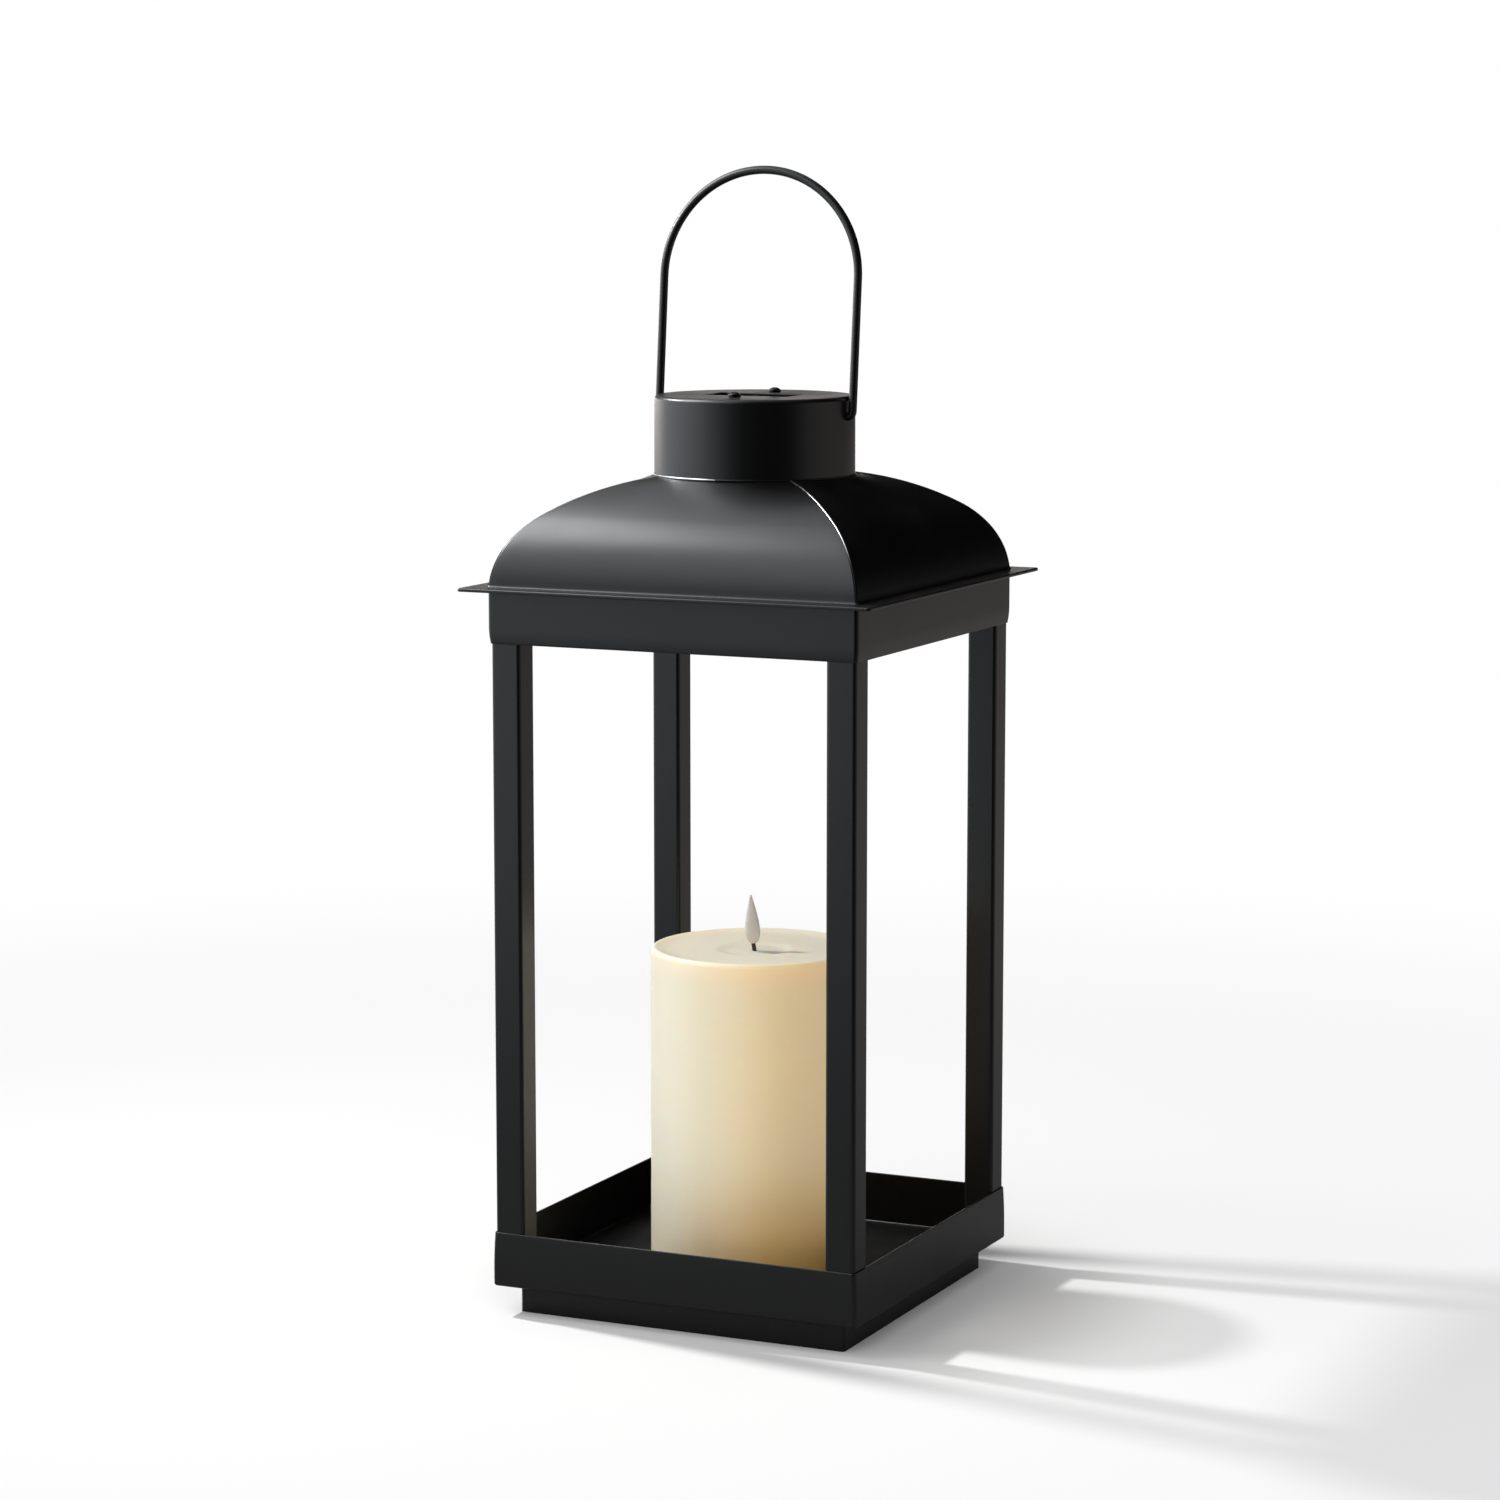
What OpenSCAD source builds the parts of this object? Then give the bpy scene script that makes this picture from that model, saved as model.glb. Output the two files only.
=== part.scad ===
// Candle lantern: open steel frame with a hipped roof, a round cap and a wire bail,
// holding a battery-lit wax pillar candle. Millimetres, +Z up, front towards -Y.
// The origin is the centre of the foot on the surface it stands on.

/* [Frame] */
// Width over the tray, the header band and the foot of the roof
body_w = 189.6; // [170:0.2:240]
// Thickness of the folded steel sheet
sheet_t = 1.2; // [0.8:0.1:2]
// Outer radius of the upright sheet corners
bend_r = 1.6; // [1.2:0.1:6]
// How far the foot is set back under the tray
foot_inset = 9.9; // [4:0.1:30]
// Height of the foot
foot_h = 14; // [8:0.5:30]
// Width of the flanges turned inwards on the foot
foot_flange = 12; // [6:0.5:25]
// Height of the tray wall above the foot
tray_h = 26.4; // [15:0.2:50]
// Clear height of the windows between the tray and the header band
window_h = 283.8; // [200:0.2:400]
// Height of the header band
header_h = 25.2; // [12:0.2:50]
// Width of a square corner post
post_w = 15; // [10:0.5:20]
// Wall of a corner post
post_wall = 1.2; // [0.8:0.1:2]
// Outer corner radius of a post
post_r = 1.2; // [0.6:0.1:3]

/* [Eave and roof] */
// Overhang of the eave plate past the header band
eave_overhang = 10.7; // [4:0.1:25]
// Thickness of the eave plate
eave_t = 1.6; // [1:0.1:4]
// Width of the rim that the eave plate keeps under the roof
eave_rim = 26; // [20:0.5:35]
// Slope of the roof sheet where it leaves the eave plate, in degrees
eave_slope = 85.7; // [80:0.1:88]
// Radius of the tight curve above the eave
eave_curve_r = 44.5; // [38:0.5:48]
// Slope where the tight curve meets the crown curve, in degrees
crown_slope = 34.4; // [30:0.1:38]
// Radius of the flat crown curve
crown_curve_r = 120; // [105:1:150]

/* [Cap] */
// Outer diameter of the round cap
cap_d = 96.2; // [80:0.2:104]
// Height of the cap above the middle of a roof panel
cap_h = 40.4; // [30:0.2:70]
// How far the cap reaches down through the roof
cap_sink = 9; // [6:0.5:12]
// Rounding of the cap's top rim
cap_rim_r = 2; // [1.5:0.1:5]
// Length of the vent slot in the cap
slot_l = 43; // [20:0.5:50]
// Width of the vent slot in the cap
slot_w = 23; // [10:0.5:26]
// Corner radius of the vent slot
slot_r = 1.5; // [0.5:0.1:4]
// Distance of each baffle screw from the cap's centre
screw_offset = 23; // [21:0.5:28]
// Shank diameter of a baffle screw
screw_d = 3; // [2.5:0.1:4]
// Head diameter of a baffle screw
screw_head_d = 5.8; // [5:0.1:7]
// Head height of a baffle screw
screw_head_h = 2.4; // [1.8:0.1:3]
// Length of a baffle screw under its head
screw_l = 7; // [6.5:0.5:12]
// Width of a baffle nut across its flats
nut_af = 5.5; // [5:0.1:7]
// Thickness of a baffle nut
nut_t = 2.4; // [2:0.1:3]
// How far the baffle plate hangs below the vent slot
baffle_drop = 12; // [8:0.5:18]
// Length of the baffle plate, along the slot
baffle_l = 54; // [45:1:64]
// Reach of each baffle tab past its bend
baffle_tab = 14; // [12:0.5:16]

/* [Bail] */
// Diameter of the bail wire
wire_d = 4; // [3:0.1:5]
// Clear space between the cap and each leg of the bail
bail_gap = 0.7; // [0.5:0.1:3]
// Distance of the bail's pivot below the top of the cap
pivot_drop = 9.3; // [7:0.1:14]
// Height of the middle of the bow above the pivot
bail_rise = 116.1; // [100:0.1:160]
// Length of each wire end inside the cap
bail_stub = 7; // [4:0.5:12]
// Lean of the bail at rest, backwards, in degrees
bail_lean = 5.3; // [0:0.1:10]

/* [Candle] */
// Diameter of the candle
candle_d = 101.6; // [90:0.2:120]
// Height of the candle without its flame
candle_h = 156.3; // [110:0.1:200]
// Thickness of the wax wall
wax_t = 5; // [3:0.2:8]
// Rounding of the candle's upper edge
wax_edge_r = 1.8; // [1:0.1:4]
// Depth of the dished top, from the rim to the edge of the pool
dish_depth = 1.5; // [0.5:0.1:4]
// Radius of the melt pool
pool_r = 18; // [10:0.5:25]
// Depth of the melt pool below the dished top
pool_depth = 1.6; // [0.5:0.1:4]
// Thickness of the wax under the melt pool
pool_t = 7; // [5:0.2:10]
// Diameter of the wick
wick_d = 2; // [1.6:0.1:3]
// Length of the wick above the wax
wick_h = 4.4; // [3:0.1:8]
// Length of the wick held below the wax's surface
wick_root = 18; // [14:0.5:30]
// Lean of the wick, in degrees
wick_lean = 9; // [0:0.5:12]
// Lean of the flame, in degrees
flame_lean = 3; // [0:0.5:8]
// Height of the moulded flame
flame_h = 23.7; // [18:0.1:30]
// Radius of the flame at its foot
flame_foot_r = 1.9; // [1.8:0.05:2.5]
// Diameter of the lamp inside the flame
lamp_d = 2.6; // [2.2:0.1:2.8]
// Length of the lamp inside the flame
lamp_l = 5; // [4:0.1:6]

/* [Candle base] */
// Height of the moulded base inside the candle
base_h = 44; // [40:0.5:70]
// Wall of the moulded base
base_wall = 2; // [1.6:0.1:2.4]
// Thickness of the moulded base's floor
base_floor = 5; // [4.6:0.1:7]
// Width of the ring beside the battery cover's recess that takes the power switch
switch_room = 6.45; // [6.3:0.05:7]
// Thickness of the battery cover's disc
cover_t = 2; // [1.6:0.1:2.2]
// Height of the battery cover above the tray
cover_clear = 0.6; // [0.4:0.1:0.8]
// Turn of the battery cover from locked to free, in degrees
cover_turn = 25; // [15:1:35]
// Thickness of each locking lug on the battery cover
lug_t = 1.5; // [1.2:0.1:2]
// Diameter of a battery cell
cell_d = 14.5; // [14:0.1:14.6]
// Length of a battery cell over its nub
cell_l = 50.5; // [49:0.1:51]
// Length of a cell's nub
nub_l = 1.3; // [1:0.1:1.6]
// Diameter of a cell's nub
nub_d = 5.5; // [5:0.1:6]
// Space for the contact spring at one end of a cell
spring_l = 5.6; // [4:0.1:6]
// Wire of the contact spring
spring_wire = 0.7; // [0.5:0.1:0.9]
// Thickness of a contact plate
contact_t = 0.4; // [0.3:0.1:0.6]
// Wall of the battery well
well_wall = 1.6; // [1.2:0.1:1.8]
// Outer diameter of the stem tube
stem_d = 8; // [7:0.1:10]
// Bore of the stem tube
stem_bore = 4.4; // [3.6:0.1:5]
// Radius of the stem tube's foot
stem_foot_r = 9; // [7:0.5:9.5]
// Length of the driver board
board_l = 20; // [18:0.5:21]
// Width of the driver board
board_w = 26; // [24:0.5:30]
// Thickness of the driver board
board_t = 1.6; // [1:0.1:2]
// Travel of the power switch
switch_travel = 4; // [2.5:0.1:5]
// Length of the switch knob
knob_l = 3.6; // [3:0.1:4]
// Width of the switch knob
knob_w = 2.2; // [1.8:0.1:2.4]
// Diameter of a lamp wire
lamp_wire_d = 0.8; // [0.6:0.1:0.9]

/* [Fits] */
// Clearance round a pin or a pressed piece, on the radius
fit = 0.05; // [0.02:0.01:0.08]
// Clearance between pieces that move past each other
run_gap = 0.3; // [0.2:0.05:0.4]

/* [Hidden] */
$fn = 64;
cut = 1;                       // overrun of every cutting tool

black = [0.13, 0.13, 0.135];
wax_ivory = [0.93, 0.87, 0.72];
plastic_ivory = [0.88, 0.85, 0.76];

// levels of the frame
floor_z = foot_h + sheet_t;
tray_top = foot_h + tray_h;
header_z = tray_top + window_h;
plate_z = header_z + header_h;
roof_z = plate_z + eave_t;
body_half = body_w / 2;
post_edge = body_half - sheet_t;

// roof section: two tangent arcs, measured outwards from the axis and up from roof_z
eave_arc = [body_half - eave_curve_r * sin(eave_slope), -eave_curve_r * cos(eave_slope)];
crown_arc = eave_arc + (eave_curve_r - crown_curve_r) * [sin(crown_slope), cos(crown_slope)];
eave_steps = 16;               // facets of the tight curve
crown_steps = 10;              // facets of the crown curve
crown_end = 5;                 // slope at which the crown curve has passed inside the cap
foot_skip = 2;                 // degrees left between the eave plate and the first facet
function reverse(list) = [for (i = [len(list) - 1:-1:0]) list[i]];
function crown_height(h) = crown_arc.y + sqrt(pow(crown_curve_r, 2) - pow(h - crown_arc.x, 2));

// cap and bail
cap_r = cap_d / 2;
cap_foot = roof_z + crown_height(cap_r);
cap_top = cap_foot + cap_h;
pivot_z = cap_top - pivot_drop;
wire_r = wire_d / 2;
leg_x = cap_r + bail_gap + wire_r;
elbow_r = wire_r + 0.5;
baffle_bend = slot_w / 2 + 3;

// candle
candle_r = candle_d / 2;
base_r = candle_r - wax_t - fit;
door_r = base_r - base_wall - switch_room;   // radius of the battery cover's recess
candle_top = floor_z + candle_h;
dish_z = candle_top - dish_depth;
pool_z = dish_z - pool_depth;
wax_roof = pool_z - pool_t;
lean_heading = 205.3;          // the wick and the flame lean towards the front left
wick_r = wick_d / 2;
lead = [cos(lean_heading), sin(lean_heading), 0];
seat_gap = wick_r * sin(abs(wick_lean - flame_lean)) + 0.02;
wick_axis = sin(wick_lean) * lead + [0, 0, cos(wick_lean)];
wick_tip = [0, 0, pool_z] + (wick_h + seat_gap) * wick_axis;

// battery well and cover
plate_under = floor_z + cover_clear + cover_t + run_gap;
plate_top = floor_z + base_floor;
cell_pitch = cell_d + 0.6;
cell_z = plate_top + cell_d / 2 + 0.6;
well_l = cell_l + spring_l + 2 * contact_t;
well_w = cell_pitch + cell_d + 1;
well_top = cell_z + cell_d / 2 + run_gap;
deck_z = well_top + well_wall;
lug_out = door_r - 1.6;        // reach of a locking lug
neck_out = door_r - 3.6;       // outer face of the neck that carries a lug
neck_in = neck_out - 2.2;
lug_half = 8;                  // half the angle that a lug takes up

// driver board
board_x = stem_foot_r + 1;
board_hole_y = board_w / 2 - 3;
boss_h = 3;
boss_r = 2.5;
board_screw_d = 2;
board_z = deck_z + boss_h;

// power switch
switch_y = door_r + switch_room / 2 + 0.2;
switch_half_w = 2.4;
switch_half_l = 6;
knob_rest = -switch_travel / 2;

// ---------- shared shapes ----------

module rounded_square(w, r) {
    square([w - 2 * r, w], center = true);
    square([w, w - 2 * r], center = true);
    for (x = [-1, 1], y = [-1, 1]) {
        translate([x * (w / 2 - r), y * (w / 2 - r)]) circle(r);
    }
}

// upright square ring of folded sheet
module sheet_ring(w, h, t, r) {
    linear_extrude(h) {
        difference() {
            rounded_square(w, r);
            rounded_square(w - 2 * t, max(r - t, 0.2));
        }
    }
}

// rounded post standing at one corner, given by the signs of x and y
module corner_post(sx, sy) {
    place = post_edge - post_w / 2;
    color(black)
        translate([sx * place, sy * place, floor_z])
            sheet_ring(post_w, plate_z - floor_z, post_wall, post_r);
}

// points of the roof section, a given distance inside its outer face, from the eave inwards
function roof_line(inset) = concat(
    [[eave_arc.x + sqrt(pow(eave_curve_r - inset, 2) - pow(eave_arc.y, 2)), 0]],
    [for (i = [0:eave_steps])
        let (a = eave_slope + (crown_slope - eave_slope) * i / eave_steps - foot_skip * (1 - i / eave_steps))
        eave_arc + (eave_curve_r - inset) * [sin(a), cos(a)]],
    [for (i = [1:crown_steps])
        let (a = crown_slope + (crown_end - crown_slope) * i / crown_steps)
        crown_arc + (crown_curve_r - inset) * [sin(a), cos(a)]]
);

// flat sector of a ring, given by the angle of its middle and half its opening
module ring_sector(r_in, r_out, middle, half) {
    reach = 2 * r_out;
    intersection() {
        difference() {
            circle(r_out);
            circle(r_in);
        }
        polygon([
            [0, 0],
            reach * [cos(middle - half), sin(middle - half)],
            reach * [cos(middle + half), sin(middle + half)]
        ]);
    }
}

// ---------- metal frame ----------

module base_plinth() {
    w = body_w - 2 * foot_inset;
    color(black) {
        difference() {
            linear_extrude(foot_h) rounded_square(w, bend_r);
            translate([0, 0, sheet_t]) {
                linear_extrude(foot_h - 2 * sheet_t) {
                    rounded_square(w - 2 * sheet_t, max(bend_r - sheet_t, 0.2));
                }
            }
            translate([0, 0, -cut]) {
                linear_extrude(foot_h + 2 * cut) rounded_square(w - 2 * foot_flange, bend_r);
            }
        }
    }
}

module base_tray() {
    color(black) {
        translate([0, 0, foot_h]) {
            difference() {
                linear_extrude(tray_h) rounded_square(body_w, bend_r);
                translate([0, 0, sheet_t]) {
                    linear_extrude(tray_h) {
                        rounded_square(body_w - 2 * sheet_t, max(bend_r - sheet_t, 0.2));
                    }
                }
            }
        }
    }
}

module header_band() {
    color(black)
        translate([0, 0, header_z])
            sheet_ring(body_w, header_h, sheet_t, bend_r);
}

module eave_plate() {
    color(black)
        translate([0, 0, plate_z])
            sheet_ring(body_w + 2 * eave_overhang, eave_t, eave_overhang + eave_rim, bend_r);
}

// one curved roof panel, facing +X, mitred to its neighbours along the hips
module roof_panel() {
    color(black) {
        difference() {
            intersection() {
                translate([0, 0, roof_z]) {
                    rotate([90, 0, 0]) {
                        linear_extrude(body_w, center = true)
                            polygon(concat(roof_line(0), reverse(roof_line(sheet_t))));
                    }
                }
                linear_extrude(2 * cap_top) {
                    polygon([[0, 0], [body_w, body_w], [body_w, -body_w]]);
                }
            }
            cylinder(h = 2 * cap_top, r = cap_r + fit);
        }
    }
}

module cap_outline(r, h, rim) {
    square([r - rim, h]);
    square([r, h - rim]);
    translate([r - rim, h - rim]) circle(rim);
}

module chimney_cap() {
    low = cap_foot - cap_sink;
    height = cap_top - low;
    color(black) {
        difference() {
            translate([0, 0, low]) {
                rotate_extrude() {
                    intersection() {
                        difference() {
                            cap_outline(cap_r, height, cap_rim_r);
                            translate([0, -cut]) {
                                cap_outline(cap_r - sheet_t, height - sheet_t + cut,
                                            max(cap_rim_r - sheet_t, 0.3));
                            }
                        }
                        square([cap_r, height]);
                    }
                }
            }
            translate([0, 0, cap_top - sheet_t - cut]) {
                linear_extrude(sheet_t + 2 * cut) {
                    square([slot_l - 2 * slot_r, slot_w], center = true);
                    square([slot_l, slot_w - 2 * slot_r], center = true);
                    for (x = [-1, 1], y = [-1, 1]) {
                        translate([x * (slot_l / 2 - slot_r), y * (slot_w / 2 - slot_r)])
                            circle(slot_r);
                    }
                    for (y = [-1, 1]) {
                        translate([0, y * screw_offset]) circle(screw_d / 2 + fit);
                    }
                }
            }
            translate([0, 0, pivot_z]) {
                rotate([0, 90, 0]) cylinder(h = 2 * body_w, r = wire_r + fit, center = true);
            }
        }
    }
}

// bent strap under the vent slot that keeps rain and light from falling straight through
module heat_baffle() {
    under = cap_top - sheet_t;
    color(black) {
        difference() {
            for (side = [-1, 1]) {
                translate([0, 0, under - baffle_drop - sheet_t]) {
                    linear_extrude(baffle_drop + sheet_t) {
                        translate([0, side * (baffle_bend + sheet_t / 2)])
                            square([baffle_l, sheet_t], center = true);
                    }
                }
                translate([0, 0, under - sheet_t]) {
                    linear_extrude(sheet_t) {
                        translate([0, side * (baffle_bend + baffle_tab / 2)])
                            square([baffle_l, baffle_tab], center = true);
                    }
                }
                translate([0, 0, under - baffle_drop - sheet_t]) {
                    linear_extrude(sheet_t)
                        square([baffle_l, 2 * (baffle_bend + sheet_t)], center = true);
                }
            }
            for (side = [-1, 1]) {
                translate([0, side * screw_offset, under - 2 * sheet_t])
                    cylinder(h = 3 * sheet_t, r = screw_d / 2 + fit);
            }
        }
    }
}

module cap_screws() {
    head_r = screw_head_d / 2;
    recess = screw_head_h / 3;
    color("dimgray") {
        for (side = [-1, 1]) {
            translate([0, side * screw_offset, cap_top]) {
                translate([0, 0, -screw_l]) cylinder(h = screw_l, r = screw_d / 2);
                difference() {
                    union() {
                        cylinder(h = screw_head_h / 2, r = head_r);
                        intersection() {
                            translate([0, 0, screw_head_h / 2])
                                cylinder(h = screw_head_h / 2, r = head_r);
                            dome_r = (pow(head_r, 2) + pow(screw_head_h / 2, 2)) / screw_head_h;
                            translate([0, 0, screw_head_h - dome_r]) sphere(dome_r);
                        }
                    }
                    for (turn = [0, 90]) {
                        rotate([0, 0, turn])
                            translate([-head_r / 2, -0.35, screw_head_h - recess])
                                cube([head_r, 0.7, recess + cut]);
                    }
                }
            }
        }
    }
}

module cap_nuts() {
    color("dimgray") {
        for (side = [-1, 1]) {
            translate([0, side * screw_offset, cap_top - 2 * sheet_t - nut_t]) {
                difference() {
                    cylinder(h = nut_t, d = nut_af / cos(30), $fn = 6);
                    translate([0, 0, -cut]) cylinder(h = nut_t + 2 * cut, r = screw_d / 2 + fit);
                }
            }
        }
    }
}

// bow of round wire whose ends turn inwards through the cap wall
module bail_handle() {
    bow_z = bail_rise - leg_x;
    color(black) {
        translate([0, 0, pivot_z]) {
            rotate([-bail_lean, 0, 0]) {
                translate([0, 0, bow_z]) {
                    rotate([90, 0, 0]) {
                        rotate_extrude(angle = 180) translate([leg_x, 0]) circle(wire_r);
                    }
                }
                for (side = [0, 1]) {
                    mirror([side, 0, 0]) {
                        translate([leg_x, 0, elbow_r]) cylinder(h = bow_z - elbow_r, r = wire_r);
                        translate([leg_x - elbow_r, 0, elbow_r]) {
                            rotate([90, 0, 0]) {
                                rotate([0, 0, -90]) {
                                    rotate_extrude(angle = 90)
                                        translate([elbow_r, 0]) circle(wire_r);
                                }
                            }
                        }
                        translate([leg_x - elbow_r, 0, 0]) {
                            rotate([0, -90, 0])
                                cylinder(h = cap_r + bail_stub - leg_x + elbow_r, r = wire_r);
                        }
                    }
                }
            }
        }
    }
}

// ---------- candle ----------

// half section of the wax: rounded rim, dished top and a shallow melt pool
module wax_section() {
    top = candle_h;
    dish = top - dish_depth;
    pool = dish - pool_depth;
    rim_w = wax_edge_r + 1.4;
    soft = 3;                  // width of the soft edge of the pool
    union() {
        difference() {
            polygon(concat(
                [[0, 0], [candle_r, 0], [candle_r, top - wax_edge_r]],
                [for (a = [15:15:90])
                    [candle_r - wax_edge_r, top - wax_edge_r] + wax_edge_r * [cos(a), sin(a)]],
                [for (s = [0:0.2:1])
                    [candle_r - rim_w - s * 2 * rim_w,
                     top - dish_depth * (0.1 + 0.7 * s * (2 - s))]],
                [for (s = [0:0.2:1])
                    [pool_r + soft * (0.5 - s), dish - pool_depth * s * s * (3 - 2 * s)]],
                [[0, pool]]
            ));
            translate([0, -cut]) square([base_r + fit, wax_roof - floor_z + cut]);
            square([wick_r + fit, top + cut]);
        }
    }
}

module candle_wax() {
    color(wax_ivory)
        translate([0, 0, floor_z])
            rotate_extrude() wax_section();
}

// shape cut through the base's plate for a lug and its neck, from locked to free
module lug_window(turn) {
    spare = 1;                 // degrees of play on each side of a lug's neck
    deep = plate_top - plate_under + 2 * cut;
    rotate([0, 0, turn]) {
        linear_extrude(deep) {
            ring_sector(neck_in - run_gap, neck_out + run_gap,
                        cover_turn / 2, cover_turn / 2 + lug_half + spare);
        }
        linear_extrude(deep + cut) {
            ring_sector((neck_in + neck_out) / 2, lug_out + run_gap,
                        cover_turn, lug_half + 2 * spare);
        }
    }
}

module candle_base() {
    color(plastic_ivory) {
        difference() {
            union() {
                translate([0, 0, floor_z]) {
                    difference() {
                        cylinder(h = base_h, r = base_r);
                        translate([0, 0, base_floor])
                            cylinder(h = base_h, r = base_r - base_wall);
                    }
                }
                translate([-well_l / 2 - well_wall, -well_w / 2 - well_wall, plate_top - cut])
                    cube([well_l + 2 * well_wall, well_w + 2 * well_wall,
                          deck_z - plate_top + cut]);
                for (y = [-1, 1]) {
                    translate([board_x + board_l / 2, y * board_hole_y, deck_z])
                        cylinder(h = boss_h, r = boss_r);
                }
            }
            translate([0, 0, floor_z - cut])
                cylinder(h = plate_under - floor_z + cut, r = door_r);
            translate([-well_l / 2, -well_w / 2, floor_z])
                cube([well_l, well_w, well_top - floor_z]);
            for (turn = [90, 270]) {
                translate([0, 0, plate_under - cut]) lug_window(turn);
            }
            for (y = [-1, 1]) {
                translate([board_x + board_l / 2, y * board_hole_y, deck_z])
                    cylinder(h = boss_h + cut, r = board_screw_d / 2 + fit);
            }
            translate([0, -switch_y, floor_z]) {
                translate([-switch_half_l - 1, -switch_half_w, -cut])
                    cube([2 * switch_half_l + 2, 2 * switch_half_w, plate_under - floor_z + cut]);
                translate([-(switch_travel + knob_l) / 2 - run_gap, -knob_w / 2 - run_gap, 0])
                    cube([switch_travel + knob_l + 2 * run_gap, knob_w + 2 * run_gap,
                          base_floor + cut]);
            }
        }
    }
}

module battery_cover() {
    low = floor_z + cover_clear;
    grip_w = 3;
    color(plastic_ivory) {
        difference() {
            union() {
                translate([0, 0, low]) cylinder(h = cover_t, r = door_r - run_gap);
                for (turn = [90, 270]) {
                    translate([0, 0, low + cover_t / 2]) {
                        linear_extrude(plate_top + run_gap + lug_t - low - cover_t / 2)
                            ring_sector(neck_in, neck_out, turn, lug_half);
                    }
                    translate([0, 0, plate_top + run_gap]) {
                        linear_extrude(lug_t)
                            ring_sector((neck_in + neck_out) / 2, lug_out, turn, lug_half);
                    }
                }
            }
            for (side = [-1, 1]) {
                translate([side * door_r / 3 - grip_w / 2, -door_r / 3, low - cut])
                    cube([grip_w, 2 * door_r / 3, cover_t / 2 + cut]);
            }
        }
    }
}

// cell lying along X with its nub at the end given by its sign
module cell(y, nub) {
    can_l = cell_l - nub_l;
    color("darkslategray") {
        translate([-nub * (well_l / 2 - contact_t - spring_l), y, cell_z]) {
            rotate([0, nub * 90, 0]) {
                rotate_extrude() {
                    square([cell_d / 2 - 0.6, can_l]);
                    translate([0, 0.6]) square([cell_d / 2, can_l - 1.2]);
                    square([nub_d / 2, cell_l]);
                }
            }
        }
    }
}

module battery_front() { cell(-cell_pitch / 2, 1); }
module battery_back() { cell(cell_pitch / 2, -1); }

// ring of the spring wire's section at one turn angle
function coil_ring(a, pitch, r0, taper, wire, sides) =
    let (r = r0 - taper * a, x = pitch * a)
    [for (k = [0:sides - 1])
        let (b = 360 * k / sides, rr = r + wire / 2 * cos(b))
        [x + wire / 2 * sin(b), rr * cos(a), rr * sin(a)]];

// conical coil along +X, from its wide end at x = 0
module contact_coil(length) {
    turns = 3;
    sides = 6;
    step = 24;
    steps = turns * 360 / step;
    run = length - spring_wire;
    wide = nub_d / 2 + 1.6;
    narrow = nub_d / 2 - 0.4;
    points = [for (i = [0:steps])
        each coil_ring(i * step, run / (turns * 360), wide, (wide - narrow) / (turns * 360),
                       spring_wire, sides)];
    skin = [for (i = [0:steps - 1], k = [0:sides - 1])
        let (n = (k + 1) % sides)
        [i * sides + k, i * sides + n, (i + 1) * sides + n, (i + 1) * sides + k]];
    ends = [
        [for (k = [sides - 1:-1:0]) k],
        [for (k = [0:sides - 1]) steps * sides + k]
    ];
    translate([spring_wire / 2, 0, 0]) polyhedron(points, concat(skin, ends), convexity = 6);
}

module contact_springs() {
    seat = well_l / 2 - contact_t;
    color("silver") {
        for (side = [-1, 1]) {
            translate([side * seat, side * cell_pitch / 2, cell_z])
                rotate([0, 0, side > 0 ? 180 : 0]) contact_coil(spring_l);
        }
    }
}

module contact_plates() {
    plate_w = cell_d - 3;
    plate_h = cell_d - 2;
    color("silver") {
        translate([well_l / 2 - contact_t, -(cell_pitch + plate_w) / 2, cell_z - plate_h / 2])
            cube([contact_t, cell_pitch + plate_w, plate_h]);
        for (side = [-1, 1]) {
            translate([-well_l / 2, side * cell_pitch / 2 - plate_w / 2, cell_z - plate_h / 2])
                cube([contact_t, plate_w, plate_h]);
        }
    }
}

module switch_body() {
    height = 5;
    color("black") {
        translate([0, -switch_y, plate_top]) {
            difference() {
                translate([-switch_half_l, -switch_half_w, 0])
                    cube([2 * switch_half_l, 2 * switch_half_w, height]);
                translate([-(switch_travel + knob_l) / 2 - run_gap, -knob_w / 2 - run_gap, -cut])
                    cube([switch_travel + knob_l + 2 * run_gap, knob_w + 2 * run_gap,
                          height / 2 + cut]);
            }
        }
    }
}

module power_switch() {
    reach = 2.2;               // how far the knob enters the switch body
    color("black") {
        translate([knob_rest - knob_l / 2, -switch_y - knob_w / 2, floor_z + cover_clear])
            cube([knob_l, knob_w, base_floor - cover_clear + reach]);
    }
}

module driver_board() {
    chip = [5, 4, 1.5];
    can_r = 2.5;
    can_h = 7;
    color("seagreen") {
        difference() {
            translate([board_x, -board_w / 2, board_z]) cube([board_l, board_w, board_t]);
            for (y = [-1, 1]) {
                translate([board_x + board_l / 2, y * board_hole_y, board_z - cut])
                    cylinder(h = board_t + 2 * cut, r = board_screw_d / 2 + fit);
            }
        }
    }
    color("dimgray") {
        translate([board_x + board_l / 2, -chip.y / 2, board_z + board_t]) cube(chip);
        translate([board_x + board_l - can_r - 1, board_w / 4, board_z + board_t])
            cylinder(h = can_h, r = can_r);
    }
}

module board_screws() {
    head_h = 1.4;
    grip = boss_h - 0.4;
    color("silver") {
        for (y = [-1, 1]) {
            translate([board_x + board_l / 2, y * board_hole_y, board_z + board_t]) {
                cylinder(h = head_h, r = board_screw_d * 0.95);
                translate([0, 0, -board_t - grip])
                    cylinder(h = board_t + grip + 0.2, r = board_screw_d / 2);
            }
        }
    }
}

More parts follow.
